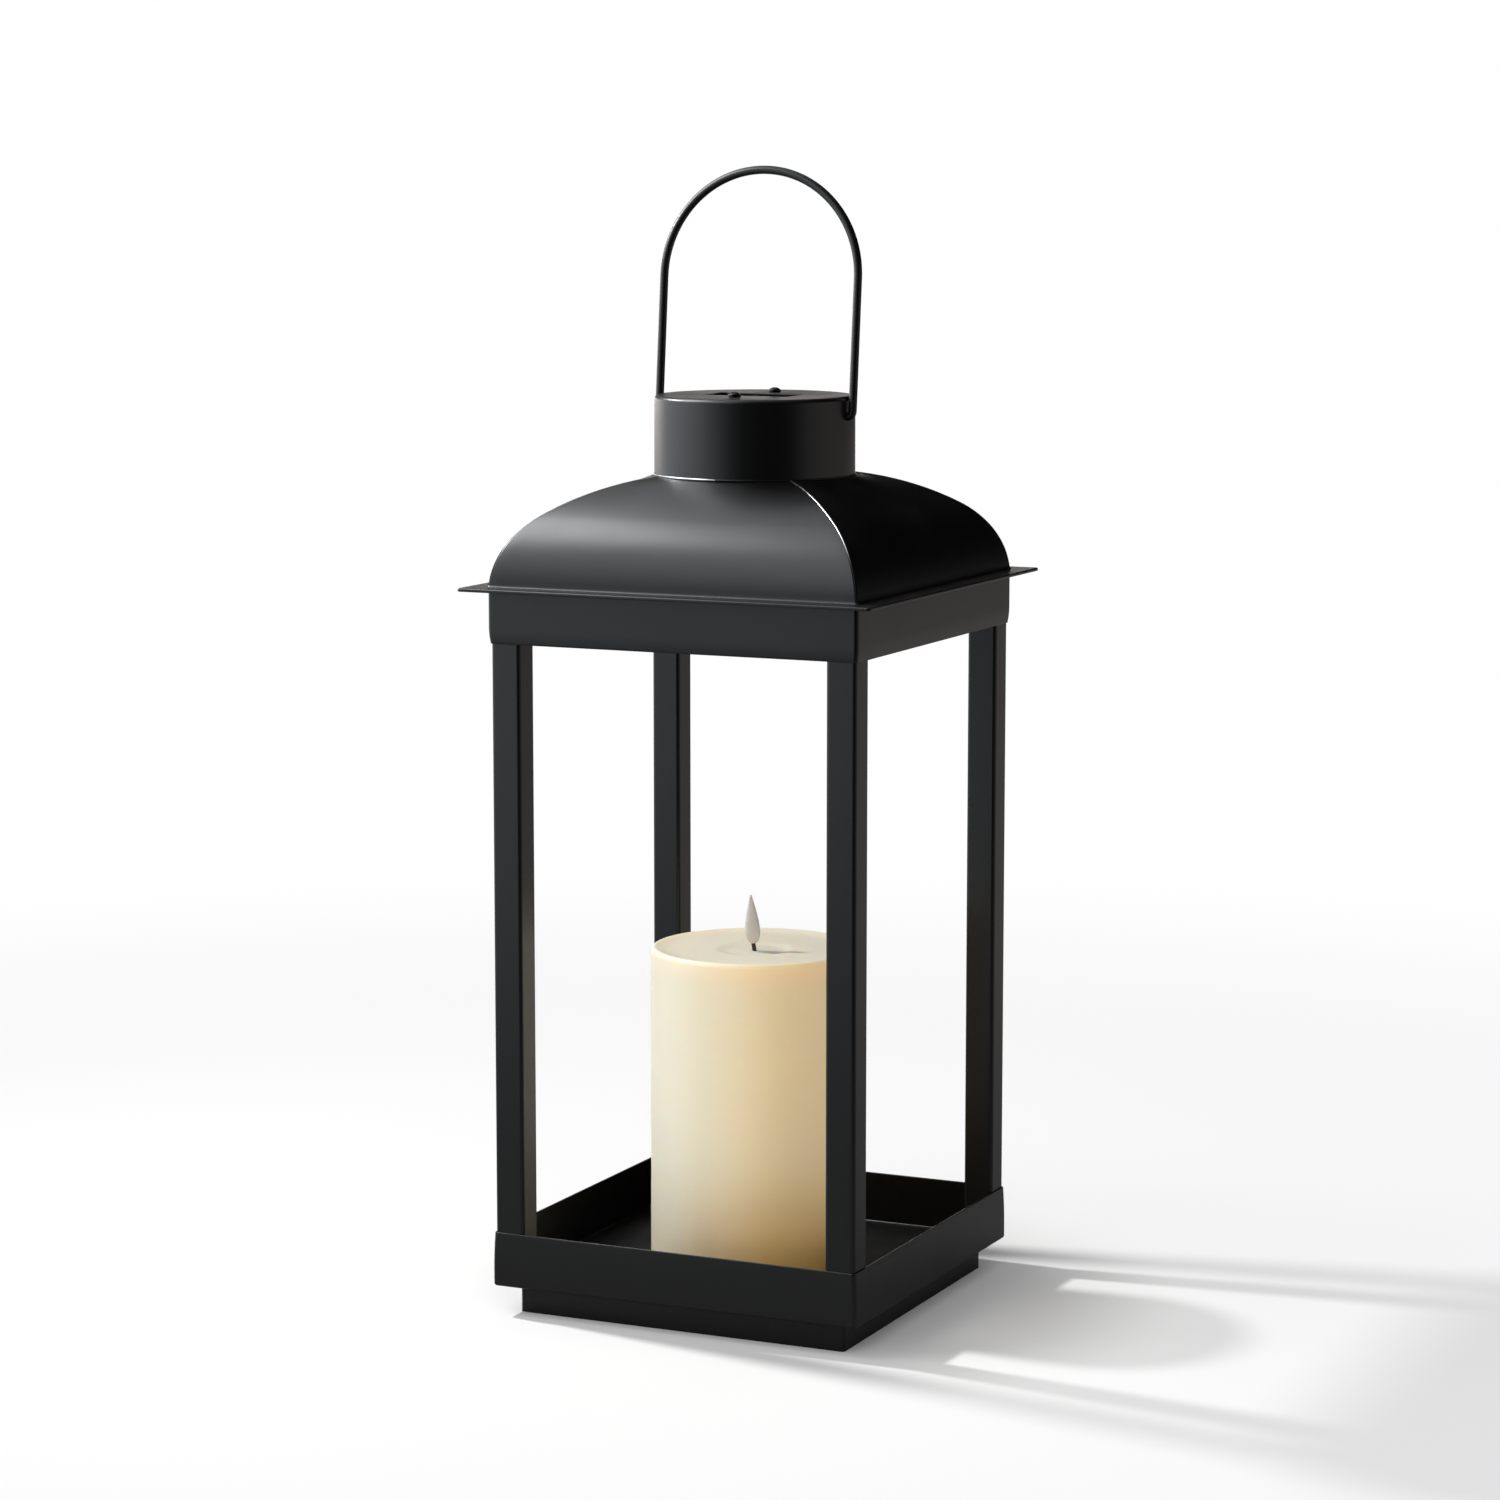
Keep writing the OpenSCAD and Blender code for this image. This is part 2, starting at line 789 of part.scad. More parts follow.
// plastic tube that holds the wick and leads its wires up through the hollow candle
module stem_tube() {
    foot_t = 2;
    window_z = board_z + board_t - deck_z;
    plug = 10;                 // length of the closed top that grips the wick
    color(plastic_ivory) {
        translate([0, 0, deck_z]) {
            difference() {
                union() {
                    cylinder(h = foot_t, r = stem_foot_r);
                    cylinder(h = wax_roof - deck_z, r = stem_d / 2);
                    for (turn = [60:120:300]) {
                        rotate([0, 0, turn]) {
                            translate([0, 0.6, foot_t - 0.1]) {
                                rotate([90, 0, 0]) {
                                    linear_extrude(1.2) {
                                        polygon([
                                            [stem_d / 4, 0],
                                            [stem_foot_r - 1, 0],
                                            [stem_d / 4, 2 * stem_foot_r]
                                        ]);
                                    }
                                }
                            }
                        }
                    }
                }
                translate([0, 0, -cut])
                    cylinder(h = wax_roof - deck_z - plug + cut, r = stem_bore / 2);
                cylinder(h = wax_roof - deck_z + cut, r = wick_r + fit);
                translate([0, -lamp_wire_d - 0.8, window_z])
                    cube([stem_d, 2 * lamp_wire_d + 1.6, 6]);
            }
        }
    }
}

// two insulated wires from the board, through the stem's side window, up to the wick
module lamp_wires() {
    start = [board_x + 2, board_z + board_t];
    turn_z = board_z + board_t + 3;
    end_z = pool_z - wick_root;
    r = lamp_wire_d / 2;
    color("firebrick") {
        for (side = [-1, 1]) {
            translate([0, side * (r + 0.1), 0]) {
                translate([start.x, 0, start.y]) cylinder(h = turn_z - start.y, r = r);
                translate([start.x, 0, turn_z]) sphere(r);
                translate([0, 0, turn_z]) rotate([0, 90, 0]) cylinder(h = start.x, r = r);
                translate([0, 0, turn_z]) sphere(r);
                translate([0, 0, turn_z]) cylinder(h = end_z - turn_z, r = r);
            }
        }
    }
}

// frame of the flame: foot of the flame at the wick's tip
module at_wick_tip() {
    translate(wick_tip) rotate([0, flame_lean, lean_heading]) children();
}

module candle_wick() {
    knee = 0.4;                // how far the leaning end starts inside the upright one
    color([0.06, 0.05, 0.04]) {
        translate([0, 0, pool_z - wick_root]) cylinder(h = wick_root, r = wick_r);
        translate([0, 0, pool_z] - knee * wick_axis) {
            rotate([0, wick_lean, lean_heading]) cylinder(h = wick_h + knee, r = wick_r);
        }
    }
}

module flame_lamp() {
    color("lightyellow") {
        at_wick_tip() {
            cylinder(h = lamp_l - lamp_d / 2, r = lamp_d / 2);
            translate([0, 0, lamp_l - lamp_d / 2]) sphere(lamp_d / 2);
        }
    }
}

// point of a cubic curve through four control points
function bezier(a, b, c, d, t) =
    pow(1 - t, 3) * a + 3 * t * pow(1 - t, 2) * b + 3 * t * t * (1 - t) * c + pow(t, 3) * d;

module candle_flame() {
    foot = [flame_foot_r, 0];
    belly = [2.7 * flame_foot_r, 0.17 * flame_h];
    shoulder = [1.8 * flame_foot_r, 0.46 * flame_h];
    tip = [0.3, flame_h];
    color("whitesmoke") {
        at_wick_tip() {
            difference() {
                rotate_extrude() {
                    polygon(concat(
                        [[0, 0]],
                        [for (i = [0:16]) bezier(foot, belly, shoulder, tip, i / 16)],
                        [[0, flame_h]]
                    ));
                }
                translate([0, 0, -cut])
                    cylinder(h = lamp_l - lamp_d / 2 + cut, r = lamp_d / 2 + fit);
                translate([0, 0, lamp_l - lamp_d / 2]) sphere(lamp_d / 2 + fit);
            }
        }
    }
}

// ---------- pieces ----------

base_plinth();
base_tray();
corner_post(-1, -1);  // post_front_left
corner_post(1, -1);  // post_front_right
corner_post(1, 1);  // post_back_right
corner_post(-1, 1);  // post_back_left
header_band();
eave_plate();
rotate([0, 0, -90]) roof_panel();  // roof_front
roof_panel();  // roof_right
rotate([0, 0, 90]) roof_panel();  // roof_back
rotate([0, 0, 180]) roof_panel();  // roof_left
chimney_cap();
heat_baffle();
cap_screws();
cap_nuts();
bail_handle();
candle_wax();
candle_base();
battery_cover();
battery_front();
battery_back();
contact_springs();
contact_plates();
switch_body();
power_switch();
driver_board();
board_screws();
stem_tube();
lamp_wires();
flame_lamp();
candle_wick();
candle_flame();
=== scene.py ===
"""Visible finish of a square black metal candle lantern with a battery-lit wax candle.

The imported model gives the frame. The folded sheet, the wire bail, the wax and the flame are
shaped again here with rolled edges and soft forms, the small fittings are taken over from
their solids, and every surface gets a procedural finish. All sizes are in metres.
"""

import logging
import math
from dataclasses import dataclass, field
from enum import Enum
from functools import cache
from typing import Callable, Mapping, NamedTuple, Sequence

import bmesh
import bpy
from mathutils import Matrix, Vector, noise


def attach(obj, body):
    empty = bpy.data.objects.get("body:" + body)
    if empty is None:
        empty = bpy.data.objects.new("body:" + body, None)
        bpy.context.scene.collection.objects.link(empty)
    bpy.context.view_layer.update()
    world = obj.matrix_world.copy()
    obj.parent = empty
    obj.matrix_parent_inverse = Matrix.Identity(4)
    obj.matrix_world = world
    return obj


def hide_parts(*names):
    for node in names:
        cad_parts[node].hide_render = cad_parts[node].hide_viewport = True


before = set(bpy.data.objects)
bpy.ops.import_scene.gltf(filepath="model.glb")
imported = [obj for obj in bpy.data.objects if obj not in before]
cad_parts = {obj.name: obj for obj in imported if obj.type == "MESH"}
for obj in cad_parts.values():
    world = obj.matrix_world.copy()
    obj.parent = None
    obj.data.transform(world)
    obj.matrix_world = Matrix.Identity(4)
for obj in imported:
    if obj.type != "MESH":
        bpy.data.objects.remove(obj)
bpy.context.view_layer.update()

MM = 0.001
NEAR = 1e-7
WELD = 1e-6
FOLD_STEPS = 5
WIRE_SIDES = 24
TIP_ANGLE = math.radians(60.0)
ORIGIN = Vector((0.0, 0.0, 0.0))
RIGHT = Vector((1.0, 0.0, 0.0))
BACK = Vector((0.0, 1.0, 0.0))
UP = Vector((0.0, 0.0, 1.0))
LOG = logging.getLogger("lantern")

Colour = tuple[float, float, float, float]
Pair = tuple[float, float]
Direction = tuple[float, float, float]


# ---------- node graphs ----------


def overload(operation: str) -> tuple["Operator", "Operator"]:
    """A Python operator on links.

    Args:
        operation: the Math node that it adds.

    Returns:
        The operator's method, and its reflected form.
    """
    def plain(self: "Link", other: "Value") -> "Link":
        """The operation with the link in front."""
        return self.graph.math(operation, self, other)

    def reflected(self: "Link", other: "Value") -> "Link":
        """The operation with the link behind."""
        return self.graph.math(operation, other, self)

    return plain, reflected


class Link:
    """An output socket that takes part in plain expressions."""

    def __init__(self, graph: "Graph", socket: bpy.types.NodeSocket | None) -> None:
        """Wraps an output socket of a graph, or None for a node without one."""
        self.graph = graph
        self.socket = socket

    def also(self, name: str) -> "Link":
        """Another output of the same node."""
        return Link(self.graph, self.socket.node.outputs[name])

    __add__, __radd__ = overload("ADD")
    __sub__, __rsub__ = overload("SUBTRACT")
    __mul__, __rmul__ = overload("MULTIPLY")
    __pow__, __rpow__ = overload("POWER")


Value = Link | float | Sequence[float]
Operator = Callable[[Link, Value], Link]
Inputs = dict[str | int, Value]


class Graph:
    """The node tree of a material, a lamp or the world, built with plain calls."""

    def __init__(self, owner: bpy.types.Material | bpy.types.Light | bpy.types.World) -> None:
        """Turns on the owner's nodes and clears them away.

        Args:
            owner: what the nodes belong to.
        """
        owner.use_nodes = True
        self.tree = owner.node_tree
        self.tree.nodes.clear()

    def node(
        self,
        kind: str,
        settings: Mapping[str, object] | None = None,
        sockets: Mapping[str | int, Value] | None = None,
        out: str | int = 0,
    ) -> Link:
        """Adds a node.

        Args:
            kind: the node's type.
            settings: properties, which are set first.
            sockets: values or links of the inputs, by name or number.
            out: the output to hand back.

        Returns:
            The chosen output.
        """
        made = self.tree.nodes.new(kind)
        for name, value in (settings or {}).items():
            setattr(made, name, value)
        for name, value in (sockets or {}).items():
            if isinstance(value, Link):
                self.tree.links.new(value.socket, made.inputs[name])
            else:
                made.inputs[name].default_value = value
        return Link(self, made.outputs[out] if made.outputs else None)

    def math(self, operation: str, *values: Value) -> Link:
        """A Math node on numbers or links."""
        return self.node("ShaderNodeMath", {"operation": operation}, dict(enumerate(values)))

    def vector(self, operation: str, *values: Value, out: str | int = 0) -> Link:
        """A Vector Math node."""
        return self.node("ShaderNodeVectorMath", {"operation": operation}, dict(enumerate(values)), out)

    def along(self, vector: Link, axis: Direction) -> Link:
        """How far a vector reaches along an axis: its cosine, for a direction."""
        return self.vector("DOT_PRODUCT", vector, axis, out="Value")

    def place(self) -> Link:
        """Position on the piece, in the lantern's frame."""
        return self.node("ShaderNodeTexCoord", out="Object")

    def axis(self, vector: Link, name: str) -> Link:
        """The X, Y or Z of a vector."""
        return self.node("ShaderNodeSeparateXYZ", None, {0: vector}, name)

    def noise(self, place: Link, scale: float, detail: float = 2.0, rough: float = 0.5) -> Link:
        """Cloudy pattern between 0 and 1, with so many features per metre and finer layers in it."""
        sockets = {"Vector": place, "Scale": scale, "Detail": detail, "Roughness": rough}
        return self.node("ShaderNodeTexNoise", None, sockets)

    def stretched(self, place: Link, scale: Sequence[float]) -> Link:
        """The position with each axis scaled on its own."""
        settings = {"vector_type": "POINT"}
        return self.node("ShaderNodeMapping", settings, {"Vector": place, "Scale": scale})

    def waves(self, place: Link, scale: float, distortion: float, detail: float) -> Link:
        """Slanting bands between 0 and 1, bent out of line by a distortion."""
        sockets = {"Vector": place, "Scale": scale, "Distortion": distortion, "Detail": detail}
        return self.node("ShaderNodeTexWave", {"bands_direction": "DIAGONAL"}, sockets, "Fac")

    def smooth(self, value: Link, low: float, high: float) -> Link:
        """Soft step from 0 at low to 1 at high."""
        settings = {"interpolation_type": "SMOOTHSTEP"}
        return self.node("ShaderNodeMapRange", settings, {0: value, 1: low, 2: high})

    def mix(self, factor: Value, first: Value, second: Value) -> Link:
        """Colour between two colours."""
        settings = {"data_type": "RGBA"}
        return self.node("ShaderNodeMix", settings, {0: factor, 6: first, 7: second}, 2)

    def bump(self, height: Link, depth: float, strength: float = 1.0, under: Link | None = None) -> Link:
        """Relief of a depth in metres, added to the one under it."""
        sockets: Inputs = {"Strength": strength, "Distance": depth, "Height": height}
        return self.node("ShaderNodeBump", None, sockets if under is None else sockets | {"Normal": under})

    def seen(self) -> tuple[Link, Link]:
        """Whether a ray comes from the camera, and whether it comes off gloss or through glass."""
        ray = self.node("ShaderNodeLightPath", out="Is Camera Ray")
        return ray, self.math("MAXIMUM", ray.also("Is Glossy Ray"), ray.also("Is Transmission Ray"))


# ---------- finishes ----------


@dataclass(frozen=True)
class Finish:
    """A finish, whose shader inputs each kind of surface works out for itself."""

    name: str

    def build(self) -> bpy.types.Material:
        """Makes the material: one shader with the finish's inputs.

        Returns:
            The material.
        """
        material = bpy.data.materials.new(self.name)
        g = Graph(material)
        shader = g.node("ShaderNodeBsdfPrincipled", None, self.inputs(g, g.place()))
        g.node("ShaderNodeOutputMaterial", None, {"Surface": shader})
        return material

    def inputs(self, g: Graph, place: Link) -> Inputs:
        """Works out the shader's inputs.

        Args:
            g: the graph that the nodes go into.
            place: the position on the piece.

        Returns:
            Values or links by the input's name.
        """
        raise NotImplementedError


@dataclass(frozen=True)
class CoatFinish(Finish):
    """Coat on metal: fine orange peel, cloudy gloss and a trace of dust on what faces up."""

    colour: Colour = (0.0012, 0.0013, 0.0015, 1.0)
    dust_colour: Colour = (0.010, 0.009, 0.008, 1.0)
    roughness: float = 0.32
    spread: float = 0.08
    peel: float = 12e-6
    dust: float = 0.28

    def inputs(self, g: Graph, place: Link) -> Inputs:
        """Works out the shader's inputs for the coat.

        Args:
            g: the graph that the nodes go into.
            place: the position on the piece.

        Returns:
            Values or links by the input's name.
        """
        upward = g.axis(place.also("Normal"), "Z")
        cloud = g.noise(place, 22.0, 4.0, 0.6)
        speck = g.noise(place, 420.0, 3.0, 0.6)
        grain = g.noise(place, 1500.0, 2.0, 0.5)
        film = g.smooth(upward, 0.3, 1.0) * g.smooth(cloud, 0.35, 0.75) * self.dust
        fleck = g.smooth(g.noise(place, 900.0, 1.0), 0.74, 0.80) * g.smooth(upward, 0.0, 0.9) * 0.5
        colour = g.mix(g.math("MAXIMUM", film, fleck), self.colour, self.dust_colour)
        uneven = cloud * (self.spread * 0.7) + speck * (self.spread * 0.3)
        relief = g.bump(speck * 0.6 + grain * 0.4, self.peel)
        rough = uneven + film * 0.3 + (self.roughness - self.spread / 2)
        return {"Base Color": colour, "Roughness": rough, "Normal": relief}


@dataclass(frozen=True)
class PlatedFinish(Finish):
    """Bright plated steel with drawn lines and a faint spangle."""

    colour: Colour = (0.56, 0.56, 0.55, 1.0)
    dull: Colour = (0.40, 0.40, 0.41, 1.0)
    roughness: float = 0.30

    def inputs(self, g: Graph, place: Link) -> Inputs:
        """Works out the shader's inputs for the plating.

        Args:
            g: the graph that the nodes go into.
            place: the position on the piece.

        Returns:
            Values or links by the input's name.
        """
        drawn = g.noise(g.stretched(place, (1.0, 30.0, 30.0)), 60.0, 3.0)
        spangle = g.node("ShaderNodeTexVoronoi", None, {"Vector": place, "Scale": 240.0}, "Distance")
        return {
            "Base Color": g.mix(g.smooth(spangle, 0.1, 0.8), self.colour, self.dull),
            "Metallic": 1.0,
            "Roughness": drawn * 0.16 + (self.roughness - 0.06),
            "Normal": g.bump(drawn, 8e-6),
        }


@dataclass(frozen=True)
class MetalGlintFinish(Finish):
    """Black metal; on the beads its bright grey is a painted highlight, on the screw heads it is plain
    gloss black.

    Attributes:
        bright: colour of the painted highlight at its strongest, and of the screw heads.
        dull: colour of the patches between.
        below_glint: colour below the heights where the painted highlight sets in.
        glint_heights: the heights between which the painted highlight sets in.
        glint_waver: how far those heights waver.
    """

    bright: Colour
    dull: Colour
    roughness: float = 0.24
    below_glint: Colour = (0.02, 0.02, 0.021, 1.0)
    glint_heights: Pair = (-0.2, -0.1)
    glint_waver: float = 12.0 * MM

    def inputs(self, g: Graph, place: Link) -> Inputs:
        """Works out the shader's inputs for the metal and its painted highlight.

        Args:
            g: the graph that the nodes go into.
            place: the position on the piece.

        Returns:
            Values or links by the input's name.
        """
        patch = g.noise(place, 160.0, 3.0, 0.6)
        grain = g.noise(place, 1400.0, 2.0)
        # painted highlight: black below a wavering height, bright metal above it
        glint = g.smooth(g.axis(place, "Z") + (patch - 0.5) * self.glint_waver, *self.glint_heights)
        metal = g.mix(g.smooth(patch, 0.30, 0.75), self.bright, self.dull)
        return {
            "Base Color": g.mix(glint, self.below_glint, metal),
            "Metallic": 1.0,
            "Roughness": patch * 0.12 + (self.roughness - 0.06),
            "Normal": g.bump(grain, 4e-6),
        }


@dataclass(frozen=True)
class WaxFinish(Finish):
    """Cast wax with painted light and shade: ivory on the side towards the key lamp, cream away from it,
    honey shade low down, a paler top where light falls on it, and a little bloom.
    """

    # painted light and shade: ivory is the lit side, cream the shaded side, honey the shade low down, top
    # the lit top
    ivory: Colour = (0.95, 0.835, 0.68, 1.0)
    shaded_cream: Colour = (0.93, 0.68, 0.40, 1.0)
    shaded_honey: Colour = (0.82, 0.49, 0.15, 1.0)
    top: Colour = (0.98, 0.87, 0.715, 1.0)
    lit_side_towards: Direction = (-0.97, -0.26, 0.0)
    foot_z: float = 15.2 * MM
    deep_z: float = 82.0 * MM

    def inputs(self, g: Graph, place: Link) -> Inputs:
        """Works out the shader's inputs for the wax.

        Args:
            g: the graph that the nodes go into.
            place: the position on the piece.

        Returns:
            Values or links by the input's name.
        """
        height = g.axis(place, "Z")
        upward = g.axis(place.also("Normal"), "Z")
        cloud = g.noise(place, 30.0, 4.0, 0.55)
        grain = g.noise(place, 520.0, 3.0, 0.55)
        # painted shade: honey colour low down, strongest on the side away from the key lamp
        low = 1.0 - g.smooth(height, self.foot_z, self.deep_z)
        # painted light and shade: the side towards the key lamp turns ivory, the far side cream
        facing = g.along(place.also("Normal"), self.lit_side_towards)
        lit_share = g.smooth(facing + cloud * 0.2, -0.45, 0.95)
        side = g.mix(lit_share, self.shaded_cream, self.ivory)
        body = g.mix(low * (0.88 - lit_share * 0.74) + cloud * 0.08, side, self.shaded_honey)
        # painted light: faces that point up take the paler top colour
        colour = g.mix(g.smooth(upward, 0.5, 0.95) * 0.8, body, self.top)
        relief = g.bump(cloud, 260e-6, 0.6)
        return {
            "Base Color": colour,
            "Roughness": cloud * 0.10 + grain * 0.08 + 0.40,
            "Subsurface Weight": 0.75,
            "Subsurface Radius": (0.85, 0.60, 0.30),
            "Subsurface Scale": 0.011,
            "Specular IOR Level": 0.4,
            "Normal": g.bump(grain, 22e-6, 1.0, relief),
        }


@dataclass(frozen=True)
class MouldedFinish(Finish):
    """Moulded plastic with a fine spark-eroded grain."""

    colour: Colour
    shade: Colour
    roughness: float = 0.5
    grain: float = 14e-6
    glow: float = 0.0

    def inputs(self, g: Graph, place: Link) -> Inputs:
        """Works out the shader's inputs for the plastic.

        Args:
            g: the graph that the nodes go into.
            place: the position on the piece.

        Returns:
            Values or links by the input's name.
        """
        cloud = g.noise(place, 60.0, 3.0)
        grain = g.noise(place, 1800.0, 2.0, 0.6)
        return {
            "Base Color": g.mix(cloud * 0.6 + grain * 0.25, self.colour, self.shade),
            "Roughness": grain * 0.16 + cloud * 0.08 + (self.roughness - 0.12),
            "Subsurface Weight": self.glow,
            "Subsurface Radius": (1.0, 0.8, 0.6),
            "Subsurface Scale": 0.002,
            "Normal": g.bump(grain, self.grain),
        }


@dataclass(frozen=True)
class CellFinish(Finish):
    """Battery sleeve: dark can, bare ends and a warm band near the nub."""

    nub: int
    can: Colour = (0.022, 0.024, 0.026, 1.0)
    band: Colour = (0.46, 0.24, 0.09, 1.0)
    steel: Colour = (0.60, 0.60, 0.58, 1.0)
    band_x: float = 11.0 * MM
    end_x: float = 22.0 * MM

    def inputs(self, g: Graph, place: Link) -> Inputs:
        """Works out the shader's inputs for the sleeve.

        Args:
            g: the graph that the nodes go into.
            place: the position on the piece.

        Returns:
            Values or links by the input's name.
        """
        along = g.axis(place, "X") * float(self.nub)
        end = g.smooth(along, self.end_x, self.end_x + 0.3 * MM)
        band = g.smooth(along, self.band_x, self.band_x + 0.3 * MM)
        scuff = g.smooth(g.noise(g.stretched(place, (14.0, 1.0, 1.0)), 90.0, 4.0), 0.55, 0.7)
        sleeve = g.mix(band, self.can, self.band)
        return {
            "Base Color": g.mix(end, sleeve, self.steel),
            "Metallic": g.math("MAXIMUM", band * 0.7, end),
            "Roughness": scuff * 0.18 + 0.26,
            "Normal": g.bump(g.noise(place, 700.0), 6e-6),
        }


@dataclass(frozen=True)
class BoardFinish(Finish):
    """Lacquered circuit board: tracks under a solder mask and pale parts on top."""

    mask: Colour = (0.010, 0.085, 0.035, 1.0)
    track: Colour = (0.022, 0.16, 0.06, 1.0)
    part: Colour = (0.018, 0.018, 0.02, 1.0)
    top_z: float = 41.9 * MM

    def inputs(self, g: Graph, place: Link) -> Inputs:
        """Works out the shader's inputs for the board.

        Args:
            g: the graph that the nodes go into.
            place: the position on the piece.

        Returns:
            Values or links by the input's name.
        """
        height = g.axis(place, "Z")
        tracks = g.smooth(g.waves(place, 150.0, 6.0, 1.0), 0.55, 0.62)
        raised = g.smooth(height, self.top_z, self.top_z + 0.05 * MM)
        return {
            "Base Color": g.mix(raised, g.mix(tracks, self.mask, self.track), self.part),
            "Roughness": g.noise(place, 300.0) * 0.15 + 0.22,
            "Normal": g.bump(tracks, 20e-6),
        }


@dataclass(frozen=True)
class LeadFinish(Finish):
    """Two insulated leads side by side, one red and one black, with a soft sheen."""

    red: Colour = (0.42, 0.02, 0.015, 1.0)
    black: Colour = (0.012, 0.012, 0.012, 1.0)

    def inputs(self, g: Graph, place: Link) -> Inputs:
        """Works out the shader's inputs for the insulation.

        Args:
            g: the graph that the nodes go into.
            place: the position on the piece.

        Returns:
            Values or links by the input's name.
        """
        side = g.smooth(g.axis(place, "Y"), -0.05 * MM, 0.05 * MM)
        grain = g.noise(place, 1500.0)
        return {
            "Base Color": g.mix(side, self.black, self.red),
            "Roughness": grain * 0.15 + 0.35,
            "Normal": g.bump(grain, 8e-6),
        }


@dataclass(frozen=True)
class WickFinish(Finish):
    """Charred braided cotton."""

    char: Colour = (0.010, 0.008, 0.007, 1.0)
    fibre: Colour = (0.045, 0.036, 0.028, 1.0)

    def inputs(self, g: Graph, place: Link) -> Inputs:
        """Works out the shader's inputs for the wick.

        Args:
            g: the graph that the nodes go into.
            place: the position on the piece.

        Returns:
            Values or links by the input's name.
        """
        braid = g.waves(place, 420.0, 3.0, 2.0)
        return {
            "Base Color": g.mix(braid, self.char, self.fibre),
            "Roughness": 0.85 - braid * 0.1,
            "Normal": g.bump(braid, 120e-6),
        }


class Surface(Enum):
    """The lantern's finishes, each with the record's slot that it stands for."""

    METAL = ("black_coat", CoatFinish("powder_coat"))
    WIRE = ("black_wire", CoatFinish("wire_coat", roughness=0.34, peel=8e-6, dust=0.15))
    SCREW = ("black_screw", MetalGlintFinish(
        "gloss_black", (0.040, 0.040, 0.042, 1.0), (0.020, 0.020, 0.021, 1.0), 0.16))
    # painted highlight on the hip beads and the cap bead: grey metal above 366–388 mm, which also reflects
    # the lamps
    GLINT_SEAM = ("black_coat", MetalGlintFinish(
        "seam_painted_highlight", (0.42, 0.42, 0.43, 1.0), (0.24, 0.24, 0.245, 1.0), 0.34,
        glint_heights=(366.0 * MM, 388.0 * MM)))
    # painted highlight on the tray seams: lighter metal all along the fold
    GLINT_FOLD = ("black_coat", MetalGlintFinish(
        "fold_painted_highlight", (0.14, 0.14, 0.143, 1.0), (0.06, 0.06, 0.061, 1.0), 0.34))
    PLATED = ("zinc", PlatedFinish("plated_steel"))
    WAX = ("ivory_wax", WaxFinish("cast_wax"))
    IVORY = ("ivory_plastic", MouldedFinish(
        "ivory_plastic", (0.76, 0.69, 0.54, 1.0), (0.70, 0.62, 0.47, 1.0), glow=0.15))
    BLACK = ("black_plastic", MouldedFinish(
        "black_plastic", (0.016, 0.016, 0.017, 1.0), (0.024, 0.024, 0.025, 1.0), 0.45))
    CELL_FRONT = ("cell", CellFinish("cell_sleeve_front", 1))
    CELL_BACK = ("cell", CellFinish("cell_sleeve_back", -1))
    BOARD = ("board", BoardFinish("circuit_board"))
    LEADS = ("wire_cover", LeadFinish("lead_insulation"))
    LAMP = ("lamp", MouldedFinish(
        "lamp_lens", (0.86, 0.80, 0.60, 1.0), (0.80, 0.72, 0.50, 1.0), 0.2, 2e-6, 0.3))
    WICK = ("wick", WickFinish("charred_wick"))
    FLAME = ("flame_plastic", MouldedFinish(
        "frosted_flame", (0.59, 0.56, 0.52, 1.0), (0.52, 0.49, 0.455, 1.0), 0.42, 20e-6, 0.5))

    @cache
    def material(self) -> bpy.types.Material:
        """The finish's material, made when first asked for."""
        return self.value[1].build()


# ---------- work on meshes ----------


def spread(start: float, end: float, steps: int) -> list[float]:
    """Values from start to end in equal steps."""
    return [start + (end - start) * i / steps for i in range(steps + 1)]


def rolled(radius: float, top: float, edge_r: float, steps: int) -> list[Pair]:
    """Profile of a turned piece's rolled top edge, from the wall to the flat.

    Args:
        radius: the wall's distance from the axis.
        top: the height of the flat.
        edge_r: the roll's radius.
        steps: its segments.

    Returns:
        Distances from the axis and heights.
    """
    arc = [math.radians(a) for a in spread(0.0, 90.0, steps)]
    return [(radius - edge_r * (1.0 - math.cos(a)), top - edge_r * (1.0 - math.sin(a))) for a in arc]


def put(name: str, data: bpy.types.ID) -> bpy.types.Object:
    """Puts a mesh, a lamp or a camera into the scene.

    Args:
        name: the object's name.
        data: what it shows.

    Returns:
        The object.
    """
    made = bpy.data.objects.new(name, data)
    bpy.context.scene.collection.objects.link(made)
    return made


class Body(Enum):
    """The moving bodies that pieces ride on."""

    FRAME = "frame"
    BAIL = "bail"
    CANDLE = "candle"
    COVER = "battery_cover"
    SWITCH = "power_switch"


